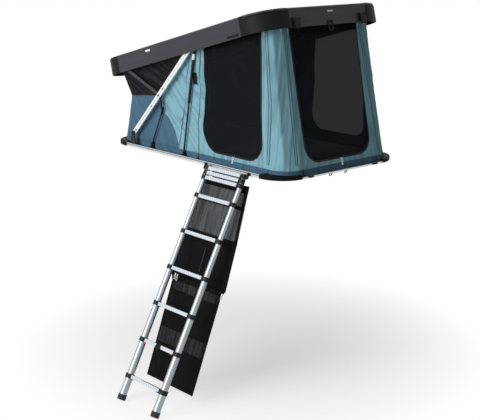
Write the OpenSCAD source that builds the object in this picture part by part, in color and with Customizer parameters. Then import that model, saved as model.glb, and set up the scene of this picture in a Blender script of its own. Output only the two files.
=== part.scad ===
// Roof top tent, set up: a hard lid lifted on side linkages, fabric walls
// between lid and base tray, and a telescopic ladder with a hanging organiser.
// X runs along the tent with the tall rear end at +X, Y runs across with the
// ladder on the -Y side, Z is up. The origin is the middle of the two mounting
// channels, on their underside, where they rest on the car's roof bars.

/* [Base tray] */
// Length of the base tray and of the lid
base_length = 2100; // [2080:10:2140]
// Width of the base tray and of the lid
base_width = 1300; // [1290:10:1340]
// Corner radius of the base tray
base_corner = 215; // [205:5:225]
// Height of the edge rails
rail_height = 30; // [28:1:32]
// Height of the end rails
end_rail_height = 16; // [14:1:18]
// Wall of the edge rails
rail_wall = 4; // [3:0.5:4]
// Thickness of the floor panel
floor_thickness = 6; // [5:0.5:6]
// Length of a moulded corner along the side
corner_side = 234; // [228:2:240]
// Length of a moulded corner along the end
corner_end = 218; // [216:2:240]
// Height by which the moulded corners stand above the rails
corner_rise = 1; // [0:0.5:1]

/* [Mounting channels] */
// Height of a mounting channel
channel_height = 20; // [18:1:25]
// Width of a mounting channel
channel_width = 50; // [46:2:60]
// Length of a mounting channel
channel_length = 1700; // [1600:50:1800]
// Distance between the two channels
channel_spacing = 800; // [760:10:840]
// Distance between the clamp bolts along a channel
bolt_spacing = 900; // [800:10:1000]
// Clearance hole for the clamp bolts
bolt_hole = 9; // [8.5:0.5:10]

/* [Lid] */
// Height of the lid's skirt
lid_height = 140; // [136:1:150]
// Corner radius of the lid
lid_corner = 240; // [235:1:242]
// Length of a corner cap along the side
cap_side = 266; // [256:2:276]
// Length of a corner cap along the end
cap_end = 243; // [243:1:260]
// Height by which the rear caps stand above the skirt
cap_rise = 8; // [4:1:10]
// Depth by which the skirt profiles sit inside the caps
skirt_recess = 3; // [2:0.5:3]
// Wall of the skirt profiles
skirt_wall = 4; // [3:0.5:4]
// Thickness of the roof panel
roof_thickness = 6; // [4:1:8]
// Thickness of the padded roof liner
liner_thickness = 10; // [6:1:12]
// Tilt of the open lid, rising to the rear
lid_tilt = 14.95; // [14.5:0.05:15.5]
// Distance of the open lid's rear edge in from the base's rear edge
lid_setback = 170.2; // [165:0.1:175]
// Height of the open lid's rear lower edge
lid_rear_z = 1094.35; // [1085:0.05:1105]

/* [Lift linkage] */
// Lift arm pivot, distance in from the base's front edge
arm_pivot_in = 308.98; // [300:0.01:315]
// Lift arm pivot, height
arm_pivot_z = 138.79; // [135:0.01:142]
// Width of a lift arm
arm_width = 40; // [36:1:44]
// Thickness of a lift arm
arm_thickness = 10; // [8:1:10]
// Distance along the lift arm to the brace pivot
brace_at = 492.19; // [485:0.01:500]
// Width of a brace
brace_width = 26; // [22:1:30]
// Thickness of a brace
brace_thickness = 6; // [5:0.5:6]
// Brace pivot on the lid, distance in from the lid's front edge
lid_pivot_in = 314.34; // [305:0.01:320]
// Brace pivot on the lid, height above the skirt's lower edge
lid_pivot_v = 27.6; // [26:0.1:30]
// Roller of the lift arm, distance in from the lid's rear edge
roller_back = 862.2; // [855:0.1:870]
// Roller track, height above the skirt's lower edge
track_v = 50.86; // [49:0.01:53]
// Travel of the roller along its track
roller_travel = 172; // [165:1:180]
// Radius of the roller
roller_r = 14; // [12:0.5:15]
// Length of the brace's tail below its middle pivot
tail_length = 105; // [100:1:108]
// Direction of the tail
tail_angle = -80; // [-84:1:-76]
// Tie rod pivot on the base, distance in from the base's front edge
tie_pivot_in = 522.1; // [515:0.1:530]
// Tie rod pivot on the base, height
tie_pivot_z = 78; // [74:0.5:82]
// Radius of a tie rod
tie_r = 5.5; // [4.5:0.5:6]
// Gas spring pivot on the base, distance in from the base's front edge
spring_pivot_in = 932; // [926:1:938]
// Gas spring pivot on the base, height
spring_pivot_z = 66; // [62:0.5:70]
// Outer radius of a gas spring cylinder
spring_r = 11; // [10:0.5:11]
// Radius of a gas spring rod
spring_rod_r = 7; // [5:0.5:7.5]
// Length of a gas spring cylinder
spring_tube = 440; // [420:1:442]
// Free gap between neighbouring links
lane_gap = 2; // [2:0.5:3]
// Radial running clearance of the link pins
pin_clear = 0.05; // [0.02:0.01:0.1]

/* [Fabric walls] */
// Front foot of the walls, distance in from the base's front edge
wall_front_in = 113; // [105:1:150]
// Rear foot of the walls, distance in from the base's rear edge
wall_rear_in = 26; // [24:1:30]
// Front top of the walls, distance in from the lid's front edge
wall_top_front = 122; // [115:1:170]
// Rear top of the walls, distance in from the lid's rear edge
wall_top_rear = 74; // [60:1:75]
// Radius of the rear corners at the foot of the walls
wall_corner_low = 165; // [150:5:175]
// Radius of the rear corners at the top of the walls
wall_corner_top = 165; // [155:5:185]
// Radius of the front corners at the foot of the walls
wall_front_low = 24; // [20:1:40]
// Radius of the front corners at the front wall's fold line
wall_front_fold = 42; // [30:1:60]
// Radius of the front corners at the top of the walls
wall_front_top = 130; // [110:5:150]
// Thickness of the fabric walls
wall = 2.4; // [2:0.2:3]
// Height of the fold line of the front wall
fold_z = 432; // [420:1:445]
// Distance of the front fold line in from the base's front edge
fold_in = 194; // [185:1:205]
// Height above the skirt's lower edge where the walls end in the lid
wall_top_v = 60; // [55:1:65]
// Height of the band round the foot of the walls
band_height = 51; // [40:1:80]
// Thickness of the window mesh
mesh = 1; // [0.8:0.1:1.4]
// Overlap of the mesh behind its frame
mesh_lap = 12; // [8:1:16]
// Front edge of the side windows, distance in from the base's rear edge
side_window_front_in = 926; // [915:1:935]
// Rear edge of the side windows at the sill, distance in from the base's rear edge
side_window_rear_in = 284; // [276:1:292]
// Radius of the side windows' front corner
side_window_r_front = 155; // [140:5:170]
// Radius of the side windows' rear corner
side_window_r_rear = 140; // [130:5:150]
// Lean of the side window's rear edge over its height
side_window_lean = 50; // [40:1:60]
// Height of the window sills
window_sill = 117; // [112:1:125]
// Distance of the rear window's sides in from the base's sides
rear_window_in = 304; // [298:1:312]
// Radius of the rear window's lower corners
rear_window_r = 130; // [115:5:140]
// Foot of the seam between front and side panels, distance in from the base's front edge
seam_low_in = 824; // [815:1:840]
// Bend of that seam, distance in from the base's front edge
seam_mid_in = 650; // [640:1:660]
// Bend of that seam, height
seam_mid_z = 338; // [330:1:345]
// Start of the gusset at the fold line, distance in from the base's front edge
gusset_in = 575; // [565:1:592]

/* [Mattress] */
// Gap between mattress and walls
mattress_gap = 26; // [20:1:40]
// Thickness of the mattress at its crown
mattress_height = 66; // [50:1:75]

/* [Ladder] */
// Distance of the ladder's middle in from the base's rear edge
ladder_in = 587.5; // [575:0.5:600]
// Distance between the ladder's stiles
ladder_gauge = 411; // [400:1:420]
// Lean of the ladder from upright
ladder_lean = 27.65; // [26:0.05:29]
// Distance of the ladder's pivot out from the base's side
hook_out = 13.8; // [12:0.1:15]
// Height of the ladder's pivot
hook_z = 8.8; // [7:0.1:9.5]
// Outer radius of the thinnest stile tube
tube_r = 16; // [15:0.5:17]
// Wall of the stile tubes
tube_wall = 1.2; // [1:0.1:1.4]
// Radial gap between nested stile tubes
tube_gap = 0.4; // [0.3:0.05:0.5]
// Length of overlap of two drawn out stile tubes
tube_overlap = 35; // [30:1:45]
// Rung spacing of the sections left pushed in
pitch_closed = 37; // [36:0.5:40]
// Rung spacing of the section that is partly drawn out
pitch_part = 148; // [140:1:155]
// Rung spacing of the sections drawn out
pitch_open = 290; // [280:1:300]
// Distance from the lowest rung to the ground
foot_drop = 187; // [180:1:195]
// Height of a tread
tread_height = 27; // [24:1:29]
// Depth of a tread
tread_depth = 38; // [34:1:42]
// Height of a stile collar
collar_height = 34; // [30:1:35]
// Wall of a stile collar
collar_wall = 5; // [4:0.5:6]

/* [Organiser] */
// Width of the organiser
organiser_width = 552; // [540:2:560]
// Length of the organiser
organiser_length = 1595; // [1560:5:1600]
// Distance of the organiser's middle from the ladder's middle
organiser_shift = -18.5; // [-25:0.5:-10]
// Lean of the organiser from upright
organiser_lean = 21; // [20:0.1:22]
// Thickness of the organiser's back sheet
organiser_sheet_t = 2; // [1.5:0.1:3]
// Depth of the pleats of the organiser's mesh
pleat_depth = 12; // [8:1:16]

/* [Hidden] */
half_l = base_length / 2;
half_w = base_width / 2;
floor_z = channel_height + floor_thickness;
rail_top = channel_height + rail_height;
rail_out = half_w - 2;
tray_inset = 2 + rail_wall;

lid_x = half_l - lid_setback;
skirt_out = half_w - skirt_recess;
skirt_in = skirt_out - skirt_wall;
lid_inset = skirt_recess + skirt_wall;
roof_v = lid_height - roof_thickness;
liner_v = roof_v - liner_thickness;

track_back = 3;
track_in = skirt_in - 13;
arm_out = track_in - lane_gap;
arm_in = arm_out - arm_thickness;
brace_out = arm_in - lane_gap;
brace_in = brace_out - brace_thickness;
link_y = brace_in - 1.5 - spring_r;
eye_half = 5;
plate_y = link_y - eye_half - 2;
wall_y = link_y - spring_r - 6.5;

function lid_point(x, v) = [
  lid_x + x * cos(lid_tilt) - v * sin(lid_tilt),
  lid_rear_z + x * sin(lid_tilt) + v * cos(lid_tilt)];
function angle_of(v) = atan2(v[1], v[0]);

arm_pivot = [-half_l + arm_pivot_in, arm_pivot_z];
roller = lid_point(-roller_back, track_v);
arm_angle = angle_of(roller - arm_pivot);
arm_length = norm(roller - arm_pivot);
brace_pivot = arm_pivot + brace_at * [cos(arm_angle), sin(arm_angle)];
lid_pivot_back = base_length - lid_pivot_in;
lid_pivot = lid_point(-lid_pivot_back, lid_pivot_v);
tail = brace_pivot + tail_length * [cos(tail_angle), sin(tail_angle)];
tie_pivot = [tie_pivot_in - half_l, tie_pivot_z];
tie_angle = angle_of(tail - tie_pivot);
tie_length = norm(tail - tie_pivot);
spring_pivot = [spring_pivot_in - half_l, spring_pivot_z];
spring_angle = angle_of(roller - spring_pivot);
spring_length = norm(roller - spring_pivot);
pin_r = 8;
link_pin_r = 7;
axle_r = 6;
eye_pin_r = 5;
eye_r = 10;

wall_x0 = -half_l + wall_front_in;
wall_x1 = half_l - wall_rear_in;
fold_x0 = -half_l + fold_in;
top_rear = lid_point(-wall_top_rear, wall_top_v);
fold_share = (fold_z - floor_z) / (top_rear[1] - floor_z);
fold_x1 = wall_x1 + (top_rear[0] - wall_x1) * fold_share;
fold_corner = wall_corner_low + (wall_corner_top - wall_corner_low) * fold_share;
band_z = floor_z + band_height;
seam_low = seam_low_in - half_l;
seam_mid = seam_mid_in - half_l;
gusset_x = gusset_in - half_l;
side_window_front = half_l - side_window_front_in;
side_window_rear = half_l - side_window_rear_in;
rear_window_half = half_w - rear_window_in;
latch_y = half_w - cap_end - 60;
seam_bow = [for (a = [15:15:75])
  [seam_mid + (seam_low - seam_mid) * cos(a), band_z + (seam_mid_z - band_z) * sin(a)]];
gusset_top = [roller[0] - 30, roller[1]];
rear_seam_low = wall_x1 - wall_corner_low - 25;
rear_seam_top = top_rear[0] - wall_corner_top - 10;

ladder_x = half_l - ladder_in;
hook_y = -half_w - hook_out;
tube_step = tube_wall + tube_gap;
half_gauge = ladder_gauge / 2;
tube_length = pitch_open + tube_overlap;
collar_cap = 3;
boss_reach = 33;
hook_pin_r = 6;
foot_height = 42;
glue = 0.05;
mesh_gap = 0.1;
end_share = 0.05;
organiser_y = 53.5;
rows = [for (n = [58, 418, 440, 790, 832, 902, 1200, 1318, 1595]) n * organiser_length / 1595];
organiser_top = 53;

function rung_s(k) = k <= 3 ? (k - 1) * pitch_closed
  : 2 * pitch_closed + pitch_part + (k - 4) * pitch_open;
function tube_out(k) = tube_r + (k - 1) * tube_step;

black = "#1b1c1e";
silver = "#c3c6c9";
anthracite = "#484b51";
teal = "#6fa3b2";
slate = "#4d6b80";

$fn = 48;

// Rounded rectangle from x0 to x1, half width hw, corner radius r
module plan(x0, x1, hw, r, n = 96, front = 0) {
  f = front > 0 ? front : r;
  translate([x0 + f, -hw]) square([x1 - x0 - f - r, 2 * hw]);
  translate([x0, f - hw]) square([x1 - r - x0, 2 * hw - 2 * f]);
  translate([x0 + f, r - hw]) square([x1 - x0 - f, 2 * hw - 2 * r]);
  for (s = [-1, 1]) {
    translate([x0 + f, s * (hw - f)]) circle(f, $fn = n);
    translate([x1 - r, s * (hw - r)]) circle(r, $fn = n);
  }
}

// Outline of the base tray, drawn in by an inset
module base_plan(inset) {
  plan(inset - half_l, half_l - inset, half_w - inset, base_corner - inset);
}

// Outline of the lid in its own frame, drawn in by an inset
module lid_plan(inset) {
  plan(inset - base_length, -inset, half_w - inset, lid_corner - inset);
}

// Place in the lid's frame: origin on its rear lower edge
module on_lid() {
  translate([lid_x, 0, lid_rear_z]) rotate([0, -lid_tilt, 0]) children();
}

// Same shape on the +Y side as on the -Y side
module both_sides() {
  children();
  mirror([0, 1, 0]) children();
}

// A drawing in X and Z, as a plate between y0 and y1
module plate_xz(y0, y1) {
  translate([0, y1, 0]) rotate([90, 0, 0]) linear_extrude(y1 - y0) children();
}

// Round bar across the tent
module rod_y(p, r, y0, y1) {
  translate([p[0], y1, p[1]]) rotate([90, 0, 0]) cylinder(r = r, h = y1 - y0);
}

// Round bar in a plane y, leaving point p at an angle, from distance a to b
module strut(p, angle, y, r, a, b) {
  translate([p[0], y, p[1]]) rotate([0, 90 - angle, 0])
    translate([0, 0, a]) cylinder(r = r, h = b - a);
}

// Flat bar between two points with round ends, which may be wider than the bar
module bar_2d(p, q, w, eye = 0) {
  translate(p) circle(w / 2 + eye);
  translate(q) circle(w / 2 + eye);
  translate(p) rotate(angle_of(q - p)) translate([0, -w / 2]) square([norm(q - p), w]);
}

module mount_channels() color(silver) for (s = [-1, 1])
  translate([0, s * channel_spacing / 2, 0]) difference() {
    translate([-channel_length / 2, -channel_width / 2, 0])
      cube([channel_length, channel_width, channel_height]);
    translate([-channel_length / 2 - 1, 3 - channel_width / 2, 3])
      cube([channel_length + 2, channel_width - 6, channel_height - 6]);
    for (x = [-bolt_spacing / 2, bolt_spacing / 2])
      translate([x, 0, -1]) cylinder(d = bolt_hole, h = 5);
  }

module floor_panel() color("#a9adb0") translate([0, 0, channel_height])
  linear_extrude(floor_thickness) base_plan(tray_inset);

// Cross section of an edge rail, outer face at 0, inside towards +
module rail_profile(height) {
  difference() {
    square([rail_wall, height]);
    translate([-1, height * 0.45]) square([2.2, 3]);
  }
  translate([0, height - 5]) square([rail_wall + 2.5, 5]);
}

module side_rails() color(silver) both_sides()
  translate([half_l - corner_side, -rail_out, channel_height])
    rotate([90, 0, -90]) linear_extrude(base_length - 2 * corner_side)
      mirror([1, 0]) rail_profile(rail_height);

module end_rails() color(silver) for (m = [0, 1]) mirror([m, 0, 0])
  translate([half_l - 2, half_w - corner_end, channel_height])
    rotate([90, 0, 0]) linear_extrude(base_width - 2 * corner_end)
      mirror([1, 0]) rail_profile(end_rail_height);

// Ring of a moulded corner and the shelf on it that reaches in to the walls
module corner_ring() {
  translate([0, 0, channel_height]) linear_extrude(rail_height + corner_rise)
    difference() {
      base_plan(0);
      base_plan(tray_inset);
    }
  translate([0, 0, rail_top + corner_rise - 3]) linear_extrude(3)
    difference() {
      base_plan(2);
      plan(wall_x0 - 3, wall_x1 + 3, wall_y + 3, wall_corner_low + 3, 96, wall_front_low + 3);
    }
}

module base_corners() color(black)
  for (sx = [-1, 1], sy = [-1, 1]) intersection() {
    corner_ring();
    translate([sx > 0 ? half_l - corner_side : -half_l - 1,
      sy > 0 ? half_w - corner_end : -half_w - 1, 0])
      cube([corner_side + 1, corner_end + 1, rail_top + 10]);
  }

// Outline of the rail that holds the foot of the walls, drawn in by an inset
module keder_plan(inset) {
  i = wall + inset;
  plan(wall_x0 + i + 2, wall_x1 - i - 2, wall_y - i, wall_corner_low - i, 96, wall_front_low - i);
}

module keder_rail() color(silver) translate([0, 0, floor_z]) linear_extrude(10)
  difference() {
    keder_plan(1.3);
    keder_plan(8);
  }

// One layer of the mattress at height z, drawn in by an inset
module mattress_layer(inset, z) {
  i = wall + mattress_gap + inset;
  translate([0, 0, floor_z + z]) linear_extrude(2)
    plan(wall_x0 + i, wall_x1 - i, wall_y - i, 110, 32);
}

module mattress() color("#8d9297") hull() {
  mattress_layer(12, 0);
  mattress_layer(0, 20);
  mattress_layer(14, mattress_height - 18);
  mattress_layer(80, mattress_height - 8);
  mattress_layer(210, mattress_height - 2);
}

// Foot and plate of an inboard bracket with its pin, for the tie rod and gas spring
module link_foot(p, ahead, behind) {
  plate_xz(-plate_y, 5 - plate_y) {
    translate(p) circle(13);
    polygon([[p[0] - ahead, floor_z], [p[0] + behind, floor_z],
      [p[0] + behind, floor_z + 10], [p[0] + 20, floor_z + 16], [p[0] + 11, p[1]],
      [p[0] - 12, p[1]], [p[0] - ahead, floor_z + 10]]);
  }
  translate([p[0] - ahead, -link_y - eye_half, floor_z])
    cube([ahead + behind, link_y + 2 * eye_half - plate_y, 10]);
  rod_y(p, eye_pin_r, -link_y - eye_half - 0.8, 2 - plate_y);
  rod_y(p, eye_pin_r + 3, -link_y - eye_half - 2.5, -link_y - eye_half - 0.5);
}

module link_brackets() color(black) both_sides() {
  plate_xz(-arm_out - 10, -arm_out - 4) {
    translate(arm_pivot) circle(19);
    polygon([[arm_pivot[0] - 42, floor_z], [arm_pivot[0] + 42, floor_z],
      [arm_pivot[0] + 17, arm_pivot[1]], [arm_pivot[0] - 17, arm_pivot[1]]]);
  }
  translate([arm_pivot[0] - 48, -arm_out - 10, floor_z]) cube([96, 34, 5]);
  rod_y(arm_pivot, 14, -arm_out - 5, -arm_out - 0.4);
  rod_y(arm_pivot, pin_r, -arm_out - 6, -arm_in + 1);
  rod_y(arm_pivot, pin_r + 4, -arm_in + 0.4, -arm_in + 1.6);
  link_foot(tie_pivot, 48, 26);
  link_foot(spring_pivot, 44, 44);
}

module ladder_hooks() color(black) for (m = [0, 1])
  translate([ladder_x, 0, 0]) mirror([m, 0, 0]) {
    x = -half_gauge - boss_reach - 0.5;
    translate([x - 6, 0, 0]) rotate([90, 0, 90]) linear_extrude(6) {
      translate([hook_y, hook_z]) circle(13);
      polygon([[hook_y - 13, hook_z], [hook_y + 13, hook_z - 2],
        [-rail_out, channel_height], [-rail_out, rail_top - 4], [-rail_out - 4, rail_top - 4]]);
    }
    translate([x - 24, -rail_out - 3, channel_height + 2]) cube([34, 3, rail_height - 8]);
    translate([x - 1, hook_y, hook_z]) rotate([0, 90, 0]) cylinder(r = hook_pin_r, h = 11);
  }

module latch_keepers() color(black) for (s = [-1, 1])
  translate([half_l - 2, s * latch_y, channel_height + 3]) {
    translate([0, -26, 0]) cube([4, 52, 12]);
    translate([0, -20, 0]) cube([11, 40, 4]);
    translate([8, -20, 0]) cube([3, 40, 9]);
  }

// Outline of the walls at the front fold line, drawn in by an inset
module fold_plan(i) {
  plan(fold_x0 + i, fold_x1 - i, wall_y - i, fold_corner - i, 32, wall_front_fold - i);
}

// Space below the fold line, drawn in by an inset
module low_space(i) {
  hull() {
    translate([0, 0, floor_z - i * end_share]) linear_extrude(0.1)
      plan(wall_x0 + i, wall_x1 - i, wall_y - i, wall_corner_low - i, 32, wall_front_low - i);
    translate([0, 0, fold_z + i * end_share]) linear_extrude(0.1) fold_plan(i);
  }
}

// Space between the fold line and the lid, drawn in by an inset
module high_space(i) {
  hull() {
    translate([0, 0, fold_z - i * end_share]) linear_extrude(0.1) fold_plan(i);
    on_lid() translate([0, 0, wall_top_v + i * end_share]) linear_extrude(0.1)
      plan(wall_top_front - base_length + i, -wall_top_rear - i, wall_y - i, wall_corner_top - i, 32,
        wall_front_top - i);
  }
}

// Fabric skin below the fold line, between two insets
module low_skin(outer, inner) {
  difference() {
    low_space(outer);
    low_space(inner);
  }
}

// Fabric skin above the fold line, between two insets
module high_skin(outer, inner) {
  difference() {
    high_space(outer);
    high_space(inner);
  }
}

far = 2 * base_length;

module band_region() plate_xz(-far, far)
  translate([-far, -10]) square([2 * far, band_z + 10]);

module front_region() plate_xz(-far, far)
  polygon([[-far, band_z], [seam_low, band_z], each seam_bow, [seam_mid, seam_mid_z],
    [seam_mid, fold_z], [-far, fold_z]]);

module gusset_region() plate_xz(-far, far)
  polygon([[-far, fold_z], [gusset_x, fold_z], gusset_top, [gusset_top[0], far], [-far, far]]);

module side_region() plate_xz(-far, far)
  polygon([[seam_low, band_z], [rear_seam_low, band_z], [rear_seam_top, top_rear[1]],
    [rear_seam_top, far], [gusset_top[0], far], gusset_top, [gusset_x, fold_z],
    [seam_mid, fold_z], [seam_mid, seam_mid_z], each [for (i = [len(seam_bow) - 1:-1:0]) seam_bow[i]]]);

module rear_region() plate_xz(-far, far)
  polygon([[rear_seam_low, band_z], [far, band_z], [far, far], [rear_seam_top, far],
    [rear_seam_top, top_rear[1]]]);

// Outline of a side window, grown by a lap
module side_window_2d(lap) {
  rf = side_window_r_front + lap;
  rr = side_window_r_rear + lap;
  x0 = side_window_front - lap;
  x1 = side_window_rear + lap;
  z0 = window_sill - lap;
  top = 34;
  polygon(concat(
    [for (a = [180:10:270]) [x0 + rf + rf * cos(a), z0 + rf + rf * sin(a)]],
    [for (a = [270:10:360]) [x1 - rr + rr * cos(a), z0 + rr + rr * sin(a)]],
    [[x1 - side_window_lean, lid_point(-wall_top_rear - 90, top + lap)[1]],
     [x0, lid_point(x0 - lid_x, top + lap)[1]]]));
}

// Outline of the rear window seen along X, grown by a lap
module rear_window_2d(lap) {
  w = rear_window_half + lap;
  r = rear_window_r + lap;
  z0 = window_sill - lap;
  z1 = lid_rear_z - 30 + lap;
  polygon(concat(
    [for (a = [180:10:270]) [-w + r + r * cos(a), z0 + r + r * sin(a)]],
    [for (a = [270:10:360]) [w - r + r * cos(a), z0 + r + r * sin(a)]],
    [[w, z1], [-w, z1]]));
}

module side_window(lap) {
  plate_xz(-far, -wall_y / 2) side_window_2d(lap);
  plate_xz(wall_y / 2, far) side_window_2d(lap);
}

module rear_window(lap) translate([half_l / 3, 0, 0])
  rotate([90, 0, 90]) linear_extrude(far) rear_window_2d(lap);

module canvas_band() color(slate) intersection() {
  low_skin(0, wall);
  band_region();
}

module canvas_sides() color(teal) difference() {
  intersection() {
    union() {
      low_skin(0, wall);
      high_skin(0, wall);
    }
    side_region();
  }
  side_window(0);
}

module canvas_rear() color(teal) difference() {
  intersection() {
    union() {
      low_skin(0, wall);
      high_skin(0, wall);
    }
    rear_region();
  }
  side_window(0);
  rear_window(0);
}

module canvas_front() color(slate) intersection() {
  low_skin(0, wall);
  front_region();
}

module canvas_gusset() color(black) intersection() {
  high_skin(0, wall);
  gusset_region();
}

module mesh_sides() color("#2a2d30") intersection() {
  union() {
    low_skin(wall + mesh_gap, wall + mesh_gap + mesh);
    high_skin(wall + mesh_gap, wall + mesh_gap + mesh);
  }
  side_window(mesh_lap);
}

module mesh_rear() color("#2a2d30") intersection() {
  union() {
    low_skin(wall + mesh_gap, wall + mesh_gap + mesh);
    high_skin(wall + mesh_gap, wall + mesh_gap + mesh);
  }
  rear_window(mesh_lap);
}

module side_skirts() color(anthracite) on_lid() both_sides() difference() {
  translate([cap_side - base_length, -skirt_out, 0])
    cube([base_length - 2 * cap_side, skirt_wall, lid_height]);
  translate([-426, -skirt_out - 1, 12]) cube([133, 2.5, 17]);
  for (v = [lid_height * 0.3, lid_height * 0.86])
    translate([-base_length, -skirt_out - 1, v]) cube([base_length, 1.8, 2]);
}

module end_skirts() color(anthracite) on_lid()
  for (x = [skirt_recess - base_length, -skirt_recess - skirt_wall])
    translate([x, cap_end - half_w, 0])
      cube([skirt_wall, base_width - 2 * cap_end, lid_height]);

// Corner cap ring at one end of the lid
module caps(x, top, lip) {
  for (s = [-1, 1]) intersection() {
    union() {
      linear_extrude(top) difference() {
        lid_plan(0);
        lid_plan(lid_inset);
      }
      if (lip > 0) translate([0, 0, lid_height]) linear_extrude(top - lid_height)
        difference() {
          lid_plan(0);
          lid_plan(lip);
        }
    }
    translate([x, s > 0 ? half_w - cap_end : -half_w - 1, -1])
      cube([cap_side + 1, cap_end + 1, top + 10]);
  }
}

module rear_caps() color(black) on_lid() caps(-cap_side, lid_height + cap_rise, 34);

module front_caps() color(black) on_lid() caps(-base_length - 1, lid_height + 2, 20);

module roof_panel() color("#b9bcbf") on_lid() translate([0, 0, roof_v])
  linear_extrude(roof_thickness) lid_plan(lid_inset);

module roof_liner() color("#7d8286") on_lid() translate([0, 0, liner_v])
  linear_extrude(liner_thickness)
    plan(wall_top_front - base_length + 10, -wall_top_rear - 10, wall_y - 10, wall_corner_top - 10);

module edge_strips() color(silver) on_lid() translate([0, 0, lid_height]) {
  both_sides() translate([cap_side - base_length, -skirt_out, 0])
    cube([base_length - 2 * cap_side, 14, 3]);
  for (x = [skirt_recess - base_length, -skirt_recess - 14])
    translate([x, cap_end - half_w, 0]) cube([14, base_width - 2 * cap_end, 3]);
}

module lid_keder() color(silver) on_lid() translate([0, 0, wall_top_v + 0.4])
  linear_extrude(roof_v - wall_top_v - 0.4) difference() {
    plan(wall_top_front - base_length, -wall_top_rear, wall_y, wall_corner_top, 96, wall_front_top);
    plan(wall_top_front - base_length + 10, -wall_top_rear - 10, wall_y - 10, wall_corner_top - 10, 96,
      wall_front_top - 10);
  }

module roller_tracks() color(silver) on_lid() both_sides()
  translate([-roller_back - 45, -skirt_in, track_v]) {
    h = roller_r + 3;
    l = roller_travel + 90;
    translate([0, 0, -h - 3]) cube([l, track_back, 2 * h + 6]);
    translate([0, 0, h]) cube([l, skirt_in - track_in, 3]);
    translate([0, 0, -h - 3]) cube([l, skirt_in - track_in, 3]);
  }

module lid_brackets() color(black) on_lid() both_sides() {
  p = [-lid_pivot_back, lid_pivot_v];
  plate_xz(-brace_in + 2, -brace_in + 8) {
    translate(p) circle(14);
    polygon([[p[0] - 13, p[1]], [p[0] + 13, p[1]], [p[0] + 34, roof_v], [p[0] - 34, roof_v]]);
  }
  translate([p[0] - 40, -brace_in + 2, roof_v - 4]) cube([80, 18, 4]);
  rod_y(p, link_pin_r, -brace_out - 1, -brace_in + 4);
  rod_y(p, link_pin_r + 3, -brace_out - 1.6, -brace_out - 0.4);
}

module latch_housings() color(black) on_lid() for (s = [-1, 1])
  translate([-skirt_recess, s * latch_y, 0]) {
    translate([0, -34, 6]) cube([7, 68, 64]);
    for (y = [-34, 29.5]) translate([6, y, 48]) cube([14, 4.5, 22]);
    translate([14, -31, 60]) rotate([-90, 0, 0]) cylinder(r = 2.5, h = 62);
  }

module latch_lever(s) color("#26282b") on_lid() translate([-skirt_recess, s * latch_y, 0])
  difference() {
    union() {
      translate([14, -29, 60]) rotate([-90, 0, 0]) cylinder(r = 6, h = 58);
      translate([12, -29, -12]) cube([6, 58, 72]);
      translate([4, -22, -12]) cube([9, 44, 6]);
    }
    translate([14, -40, 60]) rotate([-90, 0, 0]) cylinder(r = 2.5 + pin_clear, h = 80);
  }

module latch_lever_left() latch_lever(-1);

module latch_lever_right() latch_lever(1);

module pull_strap() color(black) on_lid() translate([-skirt_recess, -12, 0]) {
  translate([0, 0, 10]) cube([3.5, 24, 24]);
  translate([3.5, 0, -52]) cube([2.5, 24, 86]);
}

module lift_arms() color(silver) both_sides() {
  plate_xz(-arm_out, -arm_in) difference() {
    bar_2d(arm_pivot, roller, arm_width);
    translate(arm_pivot) circle(pin_r + pin_clear);
    for (d = [46, 353, 575])
      translate(arm_pivot + d * [cos(arm_angle), sin(arm_angle)]) circle(5);
  }
  rod_y(brace_pivot, link_pin_r, -arm_out - 1, -brace_in + 0.5);
  rod_y(brace_pivot, 12, -arm_out - 1.6, -arm_out + 0.5);
  rod_y(brace_pivot, 12, -brace_in + 0.3, -brace_in + 1.3);
  rod_y(roller, axle_r, -skirt_in + track_back + 0.4, -arm_out + 1);
  rod_y(roller, axle_r + 4, -arm_in - 1, -link_y - spring_r - 0.5);
}

module rollers() color("#3a3c3f") both_sides() difference() {
  rod_y(roller, roller_r, -skirt_in + track_back + 0.8, -track_in - 1);
  rod_y(roller, axle_r + pin_clear, -skirt_in, -track_in + 1);
}

module brace_arms() color(black) both_sides()
  plate_xz(-brace_out, -brace_in) difference() {
    union() {
      bar_2d(lid_pivot, brace_pivot, brace_width, 1.5);
      bar_2d(brace_pivot, tail, 2 * eye_r - 2, 1);
    }
    translate(lid_pivot) circle(link_pin_r + pin_clear);
    translate(brace_pivot) circle(link_pin_r + pin_clear);
  }

module tie_rods() color("#3a3c3f") both_sides() difference() {
  union() {
    rod_y(tie_pivot, eye_r, -link_y - eye_half, -link_y + eye_half);
    rod_y(tail, eye_r, -brace_in + 0.4, -link_y + eye_half);
    strut(tie_pivot, tie_angle, -link_y, tie_r, eye_r - 2, tie_length - 50);
    strut(tie_pivot, tie_angle, -link_y, 9, tie_length - 58, tie_length - eye_r + 2);
  }
  rod_y(tie_pivot, eye_pin_r + pin_clear, -brace_in, -plate_y);
}

spring_neck = 22;
gland = 15;

module gas_rods() color("#d4d7da") both_sides() difference() {
  union() {
    reach = spring_length - spring_neck - spring_tube + gland;
    rod_y(spring_pivot, eye_r - 1, -link_y - eye_half, -link_y + eye_half);
    strut(spring_pivot, spring_angle, -link_y, eye_half - 0.4, eye_r - 3, 20);
    strut(spring_pivot, spring_angle, -link_y, spring_rod_r, 18, reach + 6);
    strut(spring_pivot, spring_angle, -link_y, spring_r - 2.4, reach + 1, reach + 11);
  }
  rod_y(spring_pivot, eye_pin_r + pin_clear, -brace_in, -plate_y);
}

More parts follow.
